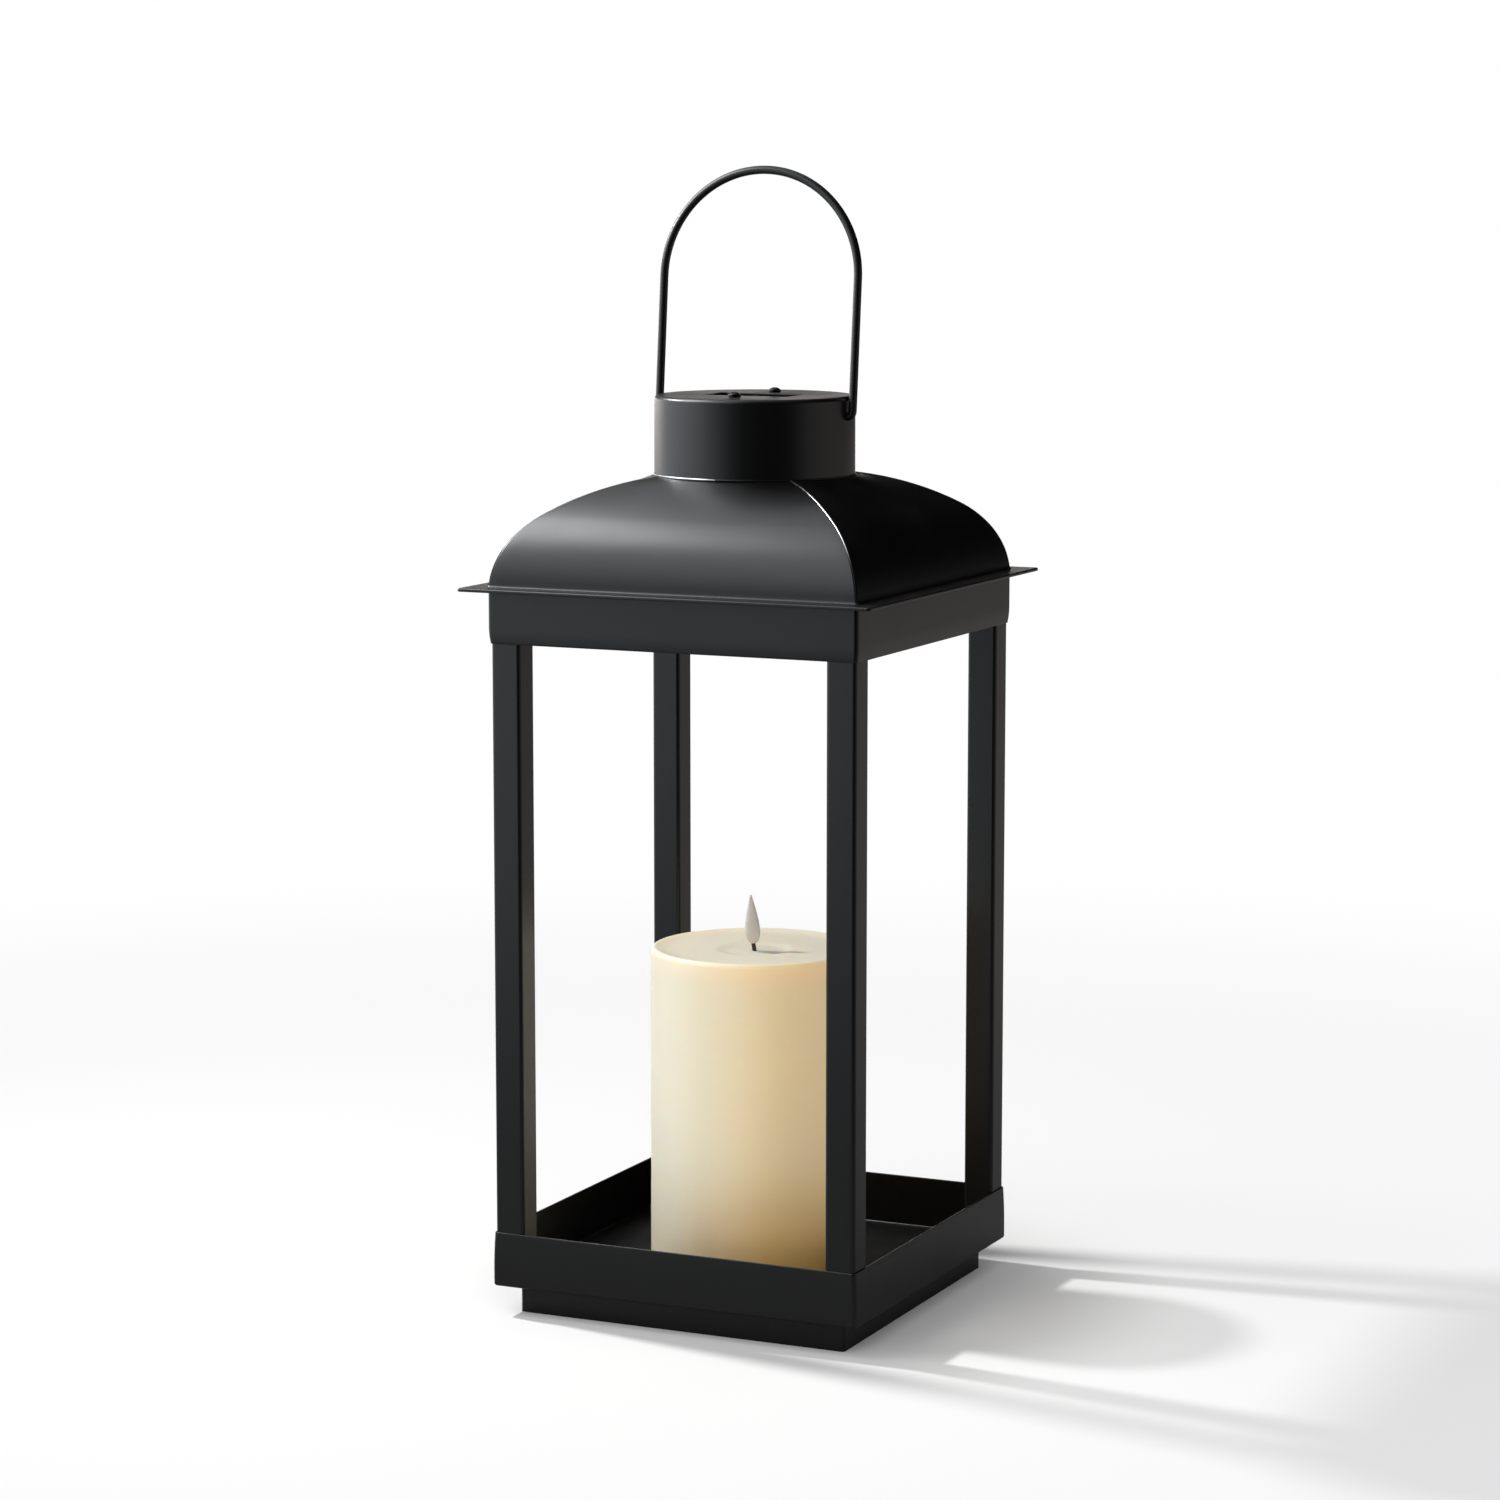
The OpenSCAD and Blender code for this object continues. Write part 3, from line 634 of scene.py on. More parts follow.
@dataclass(frozen=True)
class Trim:
    """What is done to a mesh after its shape is right.

    Attributes:
        wall: thickness given inwards to an open skin, or 0.
        arris: radius of the rolled edges, or 0.
        rolls: segments of a rolled edge.
        bend: least angle between faces, in degrees, at which an edge is rolled or stays sharp.
    """

    wall: float = 0.0
    arris: float = 0.0
    rolls: int = 2
    bend: float = 40.0

    def apply(self, piece: bpy.types.Object) -> None:
        """Smooths a piece between its sharp edges, and gives it its wall and rolled edges.

        Args:
            piece: the piece's object.
        """
        bend = math.radians(self.bend)
        piece.data.shade_smooth()
        piece.data.set_sharp_from_angle(angle=bend)
        steps = []
        if self.wall:
            steps.append(("SOLIDIFY", {"thickness": self.wall, "offset": -1.0, "use_even_offset": True}))
        if self.arris:
            roll = {"width": self.arris, "segments": self.rolls, "limit_method": "ANGLE",
                    "angle_limit": bend, "harden_normals": False}
            steps += [("BEVEL", roll), ("WEIGHTED_NORMAL", {"keep_sharp": False})]
        for kind, settings in steps:
            modifier = piece.modifiers.new(kind.lower(), kind)
            for name, value in settings.items():
                setattr(modifier, name, value)


class Ring(NamedTuple):
    """Section of a bead: its centre, two directions across it and its radius."""

    centre: Vector
    side: Vector
    lift: Vector
    radius: float


class Blank:
    """A piece of work: a mesh shaped with operators, then trimmed and hung on a body."""

    def __init__(self, name: str) -> None:
        """Starts an empty mesh for the piece of this name."""
        self.name = name
        self.bm = bmesh.new()

    def move(self, offset: Sequence[float]) -> None:
        """Shifts the whole mesh."""
        bmesh.ops.translate(self.bm, vec=offset, verts=self.bm.verts)

    def turn(self, degrees: float, axis: Vector = UP) -> None:
        """Turns the whole mesh about an axis through the origin."""
        turn = Matrix.Rotation(math.radians(degrees), 3, axis)
        bmesh.ops.rotate(self.bm, cent=ORIGIN, matrix=turn, verts=self.bm.verts)

    def merge(self) -> None:
        """Joins doubled points."""
        bmesh.ops.remove_doubles(self.bm, verts=self.bm.verts, dist=WELD)

    def face_out(self) -> None:
        """Turns the faces outwards."""
        bmesh.ops.recalc_face_normals(self.bm, faces=self.bm.faces)

    def face_away(self) -> None:
        """Turns the faces of an open skin away from the lantern's foot."""
        self.face_out()
        if sum(f.calc_area() * f.normal.dot(f.calc_center_median()) for f in self.bm.faces) < 0.0:
            bmesh.ops.reverse_faces(self.bm, faces=self.bm.faces)

    def shape(self, rule: Callable[[Vector], Vector]) -> None:
        """Moves every point by a rule."""
        for vert in self.bm.verts:
            vert.co = rule(vert.co)

    def bevel(self, geom: Sequence[object], radius: float, segments: int, corners: bool = False) -> None:
        """Rounds edges, or the corners of a flat face.

        Args:
            geom: the edges, or the corner points.
            radius: the rounding's radius.
            segments: its segments.
            corners: whether the corners are rounded.
        """
        bmesh.ops.bevel(self.bm, geom=geom, offset=radius, offset_type="OFFSET", segments=segments,
                        profile=0.5, affect="VERTICES" if corners else "EDGES", material=-1,
                        clamp_overlap=True)

    def box(self, width: float, low: float, high: float, fold_r: float) -> None:
        """A square block about the axis, with its upright edges rolled.

        Args:
            width: its width both ways.
            low: the height of its foot.
            high: the height of its top.
            fold_r: the rolled edges' radius.
        """
        bmesh.ops.create_cube(self.bm, size=1.0)
        bmesh.ops.scale(self.bm, vec=(width, width, high - low), verts=self.bm.verts)
        self.move(UP * ((low + high) / 2))
        upright = [e for e in self.bm.edges if (e.verts[0].co - e.verts[1].co).xy.length < NEAR]
        self.bevel(upright, fold_r, FOLD_STEPS)

    def slice(self, heights: Sequence[float]) -> None:
        """Cuts level rings of edges.

        Args:
            heights: the rings' heights.
        """
        for height in heights:
            geom = [*self.bm.verts, *self.bm.edges, *self.bm.faces]
            bmesh.ops.bisect_plane(self.bm, geom=geom, dist=NEAR, plane_co=UP * height, plane_no=UP)

    def open_at(self, *heights: float) -> None:
        """Takes away the flat faces at these heights."""
        flat = [f for f in self.bm.faces for h in heights if all(abs(v.co.z - h) < NEAR for v in f.verts)]
        bmesh.ops.delete(self.bm, geom=flat, context="FACES")

    def lathe(self, profile: Sequence[Pair], steps: int, closed: bool = False) -> None:
        """Turns a profile about the axis.

        Args:
            profile: distances from the axis and heights, in order.
            steps: faces round the turn.
            closed: whether the profile's end joins its start.
        """
        verts = [self.bm.verts.new((r, 0.0, z)) for r, z in profile]
        edges = [self.bm.edges.new(pair) for pair in zip(verts, verts[1:])]
        if closed:
            edges.append(self.bm.edges.new((verts[-1], verts[0])))
        bmesh.ops.spin(self.bm, geom=[*verts, *edges], cent=ORIGIN, axis=UP, dvec=ORIGIN, angle=math.tau,
                       steps=steps, use_merge=True, use_duplicate=False)
        self.merge()
        self.face_out()

    def bead(self, route: Callable[[float], Ring], steps: int, sides: int = 10) -> None:
        """A round bead along a route.

        Args:
            route: gives the bead's ring at a share of the way along.
            steps: rings along the way.
            sides: faces round the bead.
        """
        bmesh.ops.create_grid(self.bm, x_segments=sides, y_segments=steps, size=1.0)

        def rule(co: Vector) -> Vector:
            """One grid point, laid on its ring.

            Args:
                co: the point on the grid.

            Returns:
                Its place on the bead.
            """
            ring = route((co.y + 1.0) / 2)
            round_by = ring.side * math.cos(math.pi * co.x) + ring.lift * math.sin(math.pi * co.x)
            return ring.centre + round_by * ring.radius

        self.shape(rule)
        self.merge()
        self.face_out()

    def piece(self, material: bpy.types.Material) -> bpy.types.Object:
        """Turns the mesh into an object.

        Args:
            material: what it is made of.

        Returns:
            The object, at the origin.
        """
        mesh = bpy.data.meshes.new(self.name)
        self.bm.to_mesh(mesh)
        self.bm.free()
        mesh.materials.append(material)
        return put(self.name, mesh)

    def settle(self, surface: Surface, *nodes: str, body: Body = Body.FRAME, trim: Trim = Trim()) -> None:
        """Turns the mesh into a finished piece that rides on its body.

        Args:
            surface: the piece's finish.
            nodes: the solids that it stands for.
            body: the body that carries it.
            trim: wall and edges.
        """
        piece = self.piece(surface.material())
        trim.apply(piece)
        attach(piece, body.value)
        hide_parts(*nodes)
        LOG.info("piece %s on %s for %s", self.name, body.value, ", ".join(nodes))


# ---------- sub-assemblies ----------


@dataclass
class SheetFrame:
    """Tray with its seams, posts, header band and eave plate, folded from sheet.

    Attributes:
        tray_bow: how far the tray's walls lean in at the rim.
        tray_rings: shares of the tray's height at which its walls get a ring of edges.
        header_curl: how far the header's foot curls in.
        curl_rings: shares of the curl's height at which it gets a ring of edges.
        posts: each post's corner, and its signs along X and Y.
        seams: each side of the tray, and its turn about the axis from the right side.
    """

    sheet: float = 1.2 * MM
    half: float = 94.8 * MM
    fold_r: float = 2.0 * MM
    foot_fold_r: float = 1.5 * MM
    foot_fold_steps: int = 4
    seam_r: float = 0.45 * MM
    seam_steps: int = 24
    foot_h: float = 14.0 * MM
    tray_top: float = 40.4 * MM
    tray_bow: float = 0.55 * MM
    tray_rings: tuple[float, ...] = (0.3, 0.5, 0.65, 0.78, 0.88, 0.95)
    tray_arris: float = 0.25 * MM
    header_z: float = 324.2 * MM
    header_curl: float = 0.7 * MM
    header_arris: float = 0.35 * MM
    curl_h: float = 8.0 * MM
    curl_rings: tuple[float, ...] = (0.12, 0.3, 0.5, 0.75, 1.0)
    plate_z: float = 349.4 * MM
    plate_t: float = 1.6 * MM
    plate_half: float = 105.5 * MM
    plate_hole: float = 68.8 * MM
    plate_arris: float = 0.5 * MM
    post_w: float = 15.0 * MM
    post_r: float = 1.8 * MM
    post_arris: float = 0.2 * MM
    posts: dict[str, tuple[int, int]] = field(default_factory=lambda: {
        "front_left": (-1, -1), "front_right": (1, -1), "back_right": (1, 1), "back_left": (-1, 1),
    })
    seams: dict[str, float] = field(default_factory=lambda: {
        "right": 0.0, "back": 90.0, "left": 180.0, "front": 270.0,
    })

    def build(self) -> None:
        """Makes the tray, its seams, the header band, the eave plate and the posts."""
        self._tray()
        self._seams()
        self._header()
        self._plate()
        self._posts()

    def _draw_in(self, blank: Blank, inset: Callable[[float], float]) -> None:
        """Moves the walls inwards.

        Args:
            blank: the piece.
            inset: how far they move at a height.
        """
        def rule(co: Vector) -> Vector:
            """One point, drawn towards the axis."""
            scale = 1.0 - inset(co.z) / self.half
            return Vector((co.x * scale, co.y * scale, co.z))
        blank.shape(rule)

    def _tray(self) -> None:
        """Tray with a rolled foot fold and walls that lean in a little towards the rim."""
        low, high = self.foot_h, self.tray_top
        blank = Blank("tray_shell")
        blank.box(2 * self.half, low, high, self.fold_r)
        floor = [e for e in blank.bm.edges if all(abs(v.co.z - low) < NEAR for v in e.verts)]
        blank.bevel(floor, self.foot_fold_r, self.foot_fold_steps)
        blank.open_at(high)
        rings = [low + (high - low) * s for s in self.tray_rings]
        blank.slice(rings)
        start = rings[0]
        self._draw_in(blank, lambda z: self.tray_bow * max(0.0, (z - start) / (high - start)) ** 2)
        blank.settle(Surface.METAL, "base_tray", trim=Trim(self.sheet, self.tray_arris))

    def _seams(self) -> None:
        """Beads where the tray's walls meet its floor, in lighter metal as a painted highlight on the fold.
        """
        out = self.half - self.sheet - self.seam_r / 2
        level = self.foot_h + self.sheet

        def route(share: float) -> Ring:
            """The right side's ring, from one corner to the other."""
            centre = Vector((out, (2.0 * share - 1.0) * (out - self.seam_r), level))
            return Ring(centre, RIGHT, UP, self.seam_r)

        for side, degrees in self.seams.items():
            blank = Blank(f"tray_seam_{side}")
            blank.bead(route, self.seam_steps)
            blank.turn(degrees)
            blank.settle(Surface.GLINT_FOLD)

    def _header(self) -> None:
        """Header band whose lower edge curls in."""
        low, high, deep = self.header_z, self.plate_z, self.curl_h
        blank = Blank("header_shell")
        blank.box(2 * self.half, low, high, self.fold_r)
        blank.open_at(low, high)
        blank.slice([low + deep * s for s in self.curl_rings])
        self._draw_in(blank, lambda z: self.header_curl * max(0.0, (low + deep - z) / deep) ** 2)
        blank.settle(Surface.METAL, "header_band", trim=Trim(self.sheet, self.header_arris))

    def _plate(self) -> None:
        """Eave plate: a flat square ring with rolled edges."""
        blank = Blank("eave_shelf")
        bmesh.ops.create_grid(blank.bm, x_segments=3, y_segments=3, size=1.0)

        def rule(co: Vector) -> Vector:
            """Grid lines moved onto the plate's edges and the hole's."""
            x, y = (math.copysign(self.plate_half if abs(c) > 0.9 else self.plate_hole, c) for c in co.xy)
            return Vector((x, y, self.plate_z + self.plate_t))

        blank.shape(rule)
        middle = [f for f in blank.bm.faces if f.calc_center_median().xy.length < WELD]
        bmesh.ops.delete(blank.bm, geom=middle, context="FACES_ONLY")
        corners = [v for v in blank.bm.verts if len(v.link_edges) == 2]
        blank.bevel(corners, self.fold_r, FOLD_STEPS, corners=True)
        blank.settle(Surface.METAL, "eave_plate", trim=Trim(self.plate_t, self.plate_arris, 3))

    def _posts(self) -> None:
        """Square tubes that stand in the tray and carry the header."""
        low, high = self.foot_h + self.sheet, self.plate_z
        reach = self.half - self.sheet - self.post_w / 2
        for corner, (x, y) in self.posts.items():
            blank = Blank(f"post_{corner}_tube")
            blank.box(self.post_w, low, high, self.post_r)
            blank.open_at(low, high)
            blank.move((x * reach, y * reach, 0.0))
            blank.settle(Surface.METAL, f"post_{corner}", trim=Trim(self.sheet, self.post_arris))


@dataclass
class HipRoof:
    """Four curved panels, mitred at the hips, that sweep up to the round cap.

    Attributes:
        hip_share: share of a panel's half width over which the hip is rounded.
        bead: the hip bead's radius at the foot and at the cap.
        rows: grid rows over the toe, the eave's curve and the crown's.
        columns: grid columns over each hip's rounding and over the rest.
    """

    foot_z: float = 351.0 * MM
    sheet: float = 1.2 * MM
    eave_centre: Pair = (50.4253 * MM, -3.3366 * MM)
    eave_r: float = 44.5 * MM
    eave_slope: float = math.radians(85.7)
    toe_slope: float = math.radians(84.2)
    crown_centre: Pair = (7.770 * MM, -65.632 * MM)
    crown_r: float = 120.0 * MM
    crown_slope: float = math.radians(34.4)
    cap_r: float = 48.1 * MM
    tuck: float = 0.5 * MM
    ring_rise: float = 50.0 * MM
    toe: float = 0.6 * MM
    hip_share: float = 0.016
    bead: Pair = (0.35 * MM, 0.62 * MM)
    bead_sink: float = 0.25 * MM
    bead_steps: int = 72
    rows: tuple[int, int, int] = (4, 22, 12)
    columns: tuple[int, int] = (5, 36)
    turns: dict[str, float] = field(default_factory=lambda: {
        "roof_front": -90.0, "roof_right": 0.0, "roof_back": 90.0, "roof_left": 180.0,
    })

    def build(self) -> None:
        """Makes the four panels and the bead on each hip."""
        for node, degrees in self.turns.items():
            self._panel(node, degrees)
            self._hip(node, degrees)

    def _section(self, share: float, end: float) -> tuple[float, float, float]:
        """A point of the panel's section.

        Args:
            share: place along the section, 0 at the foot and 1 at the cap.
            end: distance from the axis at which the section ends.

        Returns:
            Distance out from the axis, height and slope.
        """
        toe, eave, crown = self.rows
        row = share * (toe + eave + crown)
        last = math.asin((end - self.crown_centre[0]) / self.crown_r)
        centre, radius = self.eave_centre, self.eave_r
        if row <= toe + WELD:
            slope = self.eave_slope + (self.toe_slope - self.eave_slope) * row / toe
        elif row <= toe + eave + WELD:
            slope = self.toe_slope + (self.crown_slope - self.toe_slope) * (row - toe) / eave
        else:
            slope = self.crown_slope + (last - self.crown_slope) * (row - toe - eave) / crown
            centre, radius = self.crown_centre, self.crown_r
        out = centre[0] + radius * math.sin(slope) + self.toe * max(0.0, 1.0 - row / toe) ** 2
        level = self.crown_centre[1] + self.crown_r * math.cos(last)
        rise = (self.ring_rise - level) * max(0.0, (row - toe - eave) / crown) ** 2
        return out, self.foot_z + centre[1] + radius * math.cos(slope) + rise, slope

    def _hip(self, node: str, degrees: float) -> None:
        """Bead that closes the mitre at a panel's left edge, finer towards the eave; its grey metal near
        the cap is a painted highlight.

        Args:
            node: the panel's solid.
            degrees: the panel's turn about the axis.
        """
        end = (self.cap_r - self.tuck) * math.cos(math.pi / 4)
        foot_r, cap_r = self.bead

        def route(share: float) -> Ring:
            """The bead's ring on the hip.

            Args:
                share: the share of the way up.

            Returns:
                The ring.
            """
            out, z, slope = self._section(share, end)
            lift = Vector((math.sin(slope), math.sin(slope), 2.0 * math.cos(slope))).normalized()
            sunk = Vector((out, out, z)) - lift * (self._hip_drop(out, slope) + self.bead_sink)
            side = (RIGHT - BACK).normalized()
            return Ring(sunk, side, lift, foot_r + (cap_r - foot_r) * share)

        blank = Blank(f"{node}_bead")
        blank.bead(route, self.bead_steps)
        blank.turn(degrees)
        blank.settle(Surface.GLINT_SEAM)

    def _hip_drop(self, out: float, slope: float) -> float:
        """How far the hip's rounding lies under the sharp mitre.

        Args:
            out: the distance out from the axis.
            slope: the panel's slope there.

        Returns:
            The drop, square to the panel.
        """
        steep = math.tan(slope)
        across_hip = math.sqrt((1.0 + steep ** 2) / (2.0 + steep ** 2))
        half_turn = math.acos(math.cos(slope) ** 2) / 2
        return 0.5 * self.hip_share * out * across_hip * math.tan(half_turn)

    def _panel(self, node: str, degrees: float) -> None:
        """One panel, made facing +X and turned into place.

        Args:
            node: the solid that it stands for.
            degrees: the turn about the axis.
        """
        edge, middle = self.columns
        across = 2 * edge + middle
        flat = middle / across
        blank = Blank(f"{node}_panel")
        bmesh.ops.create_grid(blank.bm, x_segments=across, y_segments=sum(self.rows), size=1.0)

        def rule(co: Vector) -> Vector:
            """One grid point, laid on the panel.

            Args:
                co: the point on the grid.

            Returns:
                Its place on the panel.
            """
            u, share = co.x, (co.y + 1.0) / 2
            outer = max(0.0, (abs(u) - flat) / (1.0 - flat))
            tan = min(abs(u) / flat, 1.0) * (1.0 - self.hip_share) + self.hip_share * outer
            end = (self.cap_r - self.tuck) * math.cos(math.atan(tan))
            out, z, slope = self._section(share, end)
            drop = self._hip_drop(out, slope) * outer ** 2
            out -= drop * math.sin(slope)
            return Vector((out, math.copysign(tan, u) * out, z - drop * math.cos(slope)))

        blank.shape(rule)
        blank.face_away()
        blank.turn(degrees)
        blank.settle(Surface.METAL, node, trim=Trim(self.sheet, bend=60.0))


@dataclass
class ChimneyCap:
    """Round cap with a vent slot, and the bead that closes it on the roof.

    Attributes:
        flat_r: where the flat top's outer ring of edges lies.
        land_r: radius of the ring that the slot's edge is bridged to.
        lid_r: a radius that holds the slot and no more.
        bead_z: the closing bead's height.
        glint_arc: the plan angles between which the bead carries a painted highlight, on the side towards
            the key lamp.
        glint_tip: the painted highlight's radius at its tips, as a share of its full one.
        glint_tapers: how many tapers would fit along it.
    """

    radius: float = 48.1 * MM
    low: float = 389.387 * MM
    top: float = 438.787 * MM
    rim_r: float = 2.0 * MM
    rim_steps: int = 6
    wall_steps: int = 6
    arris: float = 0.3 * MM
    sheet: float = 1.2 * MM
    slot: Pair = (43.0 * MM, 23.0 * MM)
    slot_r: float = 1.5 * MM
    flat_r: float = 44.9 * MM
    land_r: float = 30.0 * MM
    lid_r: float = 26.0 * MM
    bead_z: float = 401.1 * MM
    bead_r: float = 0.45 * MM
    glint_r: float = 0.56 * MM
    glint_arc: Pair = (math.radians(-192.0), math.radians(-78.0))
    glint_tip: float = 0.35
    glint_tapers: float = 5.0
    glint_steps: int = 96
    bead_sides: int = 12
    steps: int = 128

    def build(self) -> None:
        """Makes the cap, its bead and the bead's painted highlight."""
        self._shell()
        self._bead()
        self._painted_glint_bead()

    def _shell(self) -> None:
        """Rolled wall, rounded rim and flat top with the slot."""
        blank = Blank("cap_shell")
        bm = blank.bm
        wall = [(self.radius, z) for z in spread(self.low, self.top - self.rim_r, self.wall_steps)[:-1]]
        rim = rolled(self.radius, self.top, self.rim_r, self.rim_steps)
        blank.lathe([*wall, *rim, (self.flat_r, self.top), (self.land_r, self.top)], self.steps)
        inner = [e for e in bm.edges if all(v.co.xy.length < self.land_r + WELD for v in e.verts)]
        made = bmesh.ops.create_grid(bm, x_segments=1, y_segments=1, size=0.5)["verts"]
        bmesh.ops.scale(bm, vec=(*self.slot, 1.0), verts=made)
        bmesh.ops.translate(bm, vec=UP * self.top, verts=made)
        blank.bevel(made, self.slot_r, FOLD_STEPS, corners=True)
        lid = [f for f in bm.faces if all(v.co.xy.length < self.lid_r for v in f.verts)]
        slot = [e for f in lid for e in f.edges]
        bmesh.ops.delete(bm, geom=lid, context="FACES_ONLY")
        bmesh.ops.bridge_loops(bm, edges=inner + slot)
        blank.face_away()
        blank.settle(Surface.METAL, "chimney_cap", trim=Trim(self.sheet, self.arris, bend=50.0))

    def _bead(self) -> None:
        """Closing bead between the roof and the cap's wall."""
        blank = Blank("cap_bead")
        arc = spread(0.0, math.tau, self.bead_sides)[:-1]
        ring = [(self.radius + self.bead_r * math.cos(a), self.bead_r * math.sin(a)) for a in arc]
        blank.lathe(ring, self.steps, closed=True)
        blank.move(UP * self.bead_z)
        blank.settle(Surface.METAL)

    def _painted_glint_bead(self) -> None:
        """A wider stretch of grey metal over the bead on the side towards the key lamp, a painted
        highlight.
        """
        first, last = self.glint_arc

        def route(share: float) -> Ring:
            """The stretch's ring, finer towards both ends.

            Args:
                share: the share of the way along.

            Returns:
                The ring.
            """
            angle = first + (last - first) * share
            out = Vector((math.cos(angle), math.sin(angle), 0.0))
            thick = min(1.0, self.glint_tapers * share, self.glint_tapers * (1.0 - share))
            thin = self.glint_r * (self.glint_tip + (1.0 - self.glint_tip) * thick * (2.0 - thick))
            return Ring(out * self.radius + UP * self.bead_z, out, UP, thin)

        blank = Blank("cap_bead_painted_glint")
        blank.bead(route, self.glint_steps, self.bead_sides)
        blank.settle(Surface.GLINT_SEAM)


class Wire(Blank):
    """Round wire that is drawn and bent on from its open end."""

    def __init__(self, name: str, radius: float, start: Sequence[float]) -> None:
        """Starts with the wire's section, facing along X.

        Args:
            name: the piece's name.
            radius: the wire's radius.
            start: the section's middle.
        """
        super().__init__(name)
        bmesh.ops.create_circle(self.bm, cap_ends=False, radius=radius, segments=WIRE_SIDES)
        self.turn(90.0, BACK)
        self.move(start)
        self.end = list(self.bm.edges)

    def draw(self, by: Sequence[float]) -> None:
        """Draws the wire on in a straight line.

        Args:
            by: how far, as a vector.
        """
        made = bmesh.ops.extrude_edge_only(self.bm, edges=self.end)["geom"]
        verts = [g for g in made if isinstance(g, bmesh.types.BMVert)]
        bmesh.ops.translate(self.bm, vec=by, verts=verts)
        edges = [g for g in made if isinstance(g, bmesh.types.BMEdge)]
        self.end = [e for e in edges if all(v in verts for v in e.verts)]

    def bend(self, centre: Sequence[float], degrees: float, steps: int) -> None:
        """Bends the wire round a centre, about the axis that points back.

        Args:
            centre: the bend's centre.
            degrees: its angle.
            steps: its segments.
        """
        verts = list({v for e in self.end for v in e.verts})
        made = bmesh.ops.spin(
            self.bm, geom=[*verts, *self.end], cent=centre, axis=BACK, dvec=ORIGIN,
            angle=math.radians(degrees), steps=steps, use_merge=False, use_duplicate=False,
        )["geom_last"]
        self.end = [g for g in made if isinstance(g, bmesh.types.BMEdge)]

    def close(self, tip_r: float) -> None:
        """Closes both ends and rolls their edges.

        Args:
            tip_r: the rolled edges' radius.
        """
        self.merge()
        rims = [e for e in self.bm.edges if e.is_boundary]
        bmesh.ops.holes_fill(self.bm, edges=rims, sides=WIRE_SIDES)
        self.face_out()
        tips = [e for e in self.bm.edges if e.calc_face_angle(0.0) > TIP_ANGLE]
        self.bevel(tips, tip_r, 2)


@dataclass
class Bail:
    """Bow of round wire whose ends turn in through the cap."""

    wire_r: float = 2.0 * MM
    tip_r: float = 0.4 * MM
    leg_x: float = 50.8 * MM
    elbow_r: float = 2.5 * MM
    bow_z: float = 65.3 * MM
    stub_x: float = 41.5 * MM
    pivot_z: float = 429.487 * MM
    lean: float = 5.3
    elbow_steps: int = 8
    bow_steps: int = 64

    def build(self) -> None:
        """Sweeps the wire's section along stub, elbow, leg, bow, leg, elbow and stub."""
        knee_x = self.leg_x - self.elbow_r
        stub, leg = RIGHT * (knee_x - self.stub_x), UP * (self.bow_z - self.elbow_r)
        wire = Wire("bail_wire", self.wire_r, RIGHT * self.stub_x)
        wire.draw(stub)
        wire.bend((knee_x, 0.0, self.elbow_r), -90.0, self.elbow_steps)
        wire.draw(leg)
        wire.bend(UP * self.bow_z, -180.0, self.bow_steps)
        wire.draw(-leg)
        wire.bend((-knee_x, 0.0, self.elbow_r), -90.0, self.elbow_steps)
        wire.draw(stub)
        wire.close(self.tip_r)
        wire.turn(-self.lean, RIGHT)
        wire.move(UP * self.pivot_z)
        wire.settle(Surface.WIRE, "bail_handle", body=Body.BAIL)


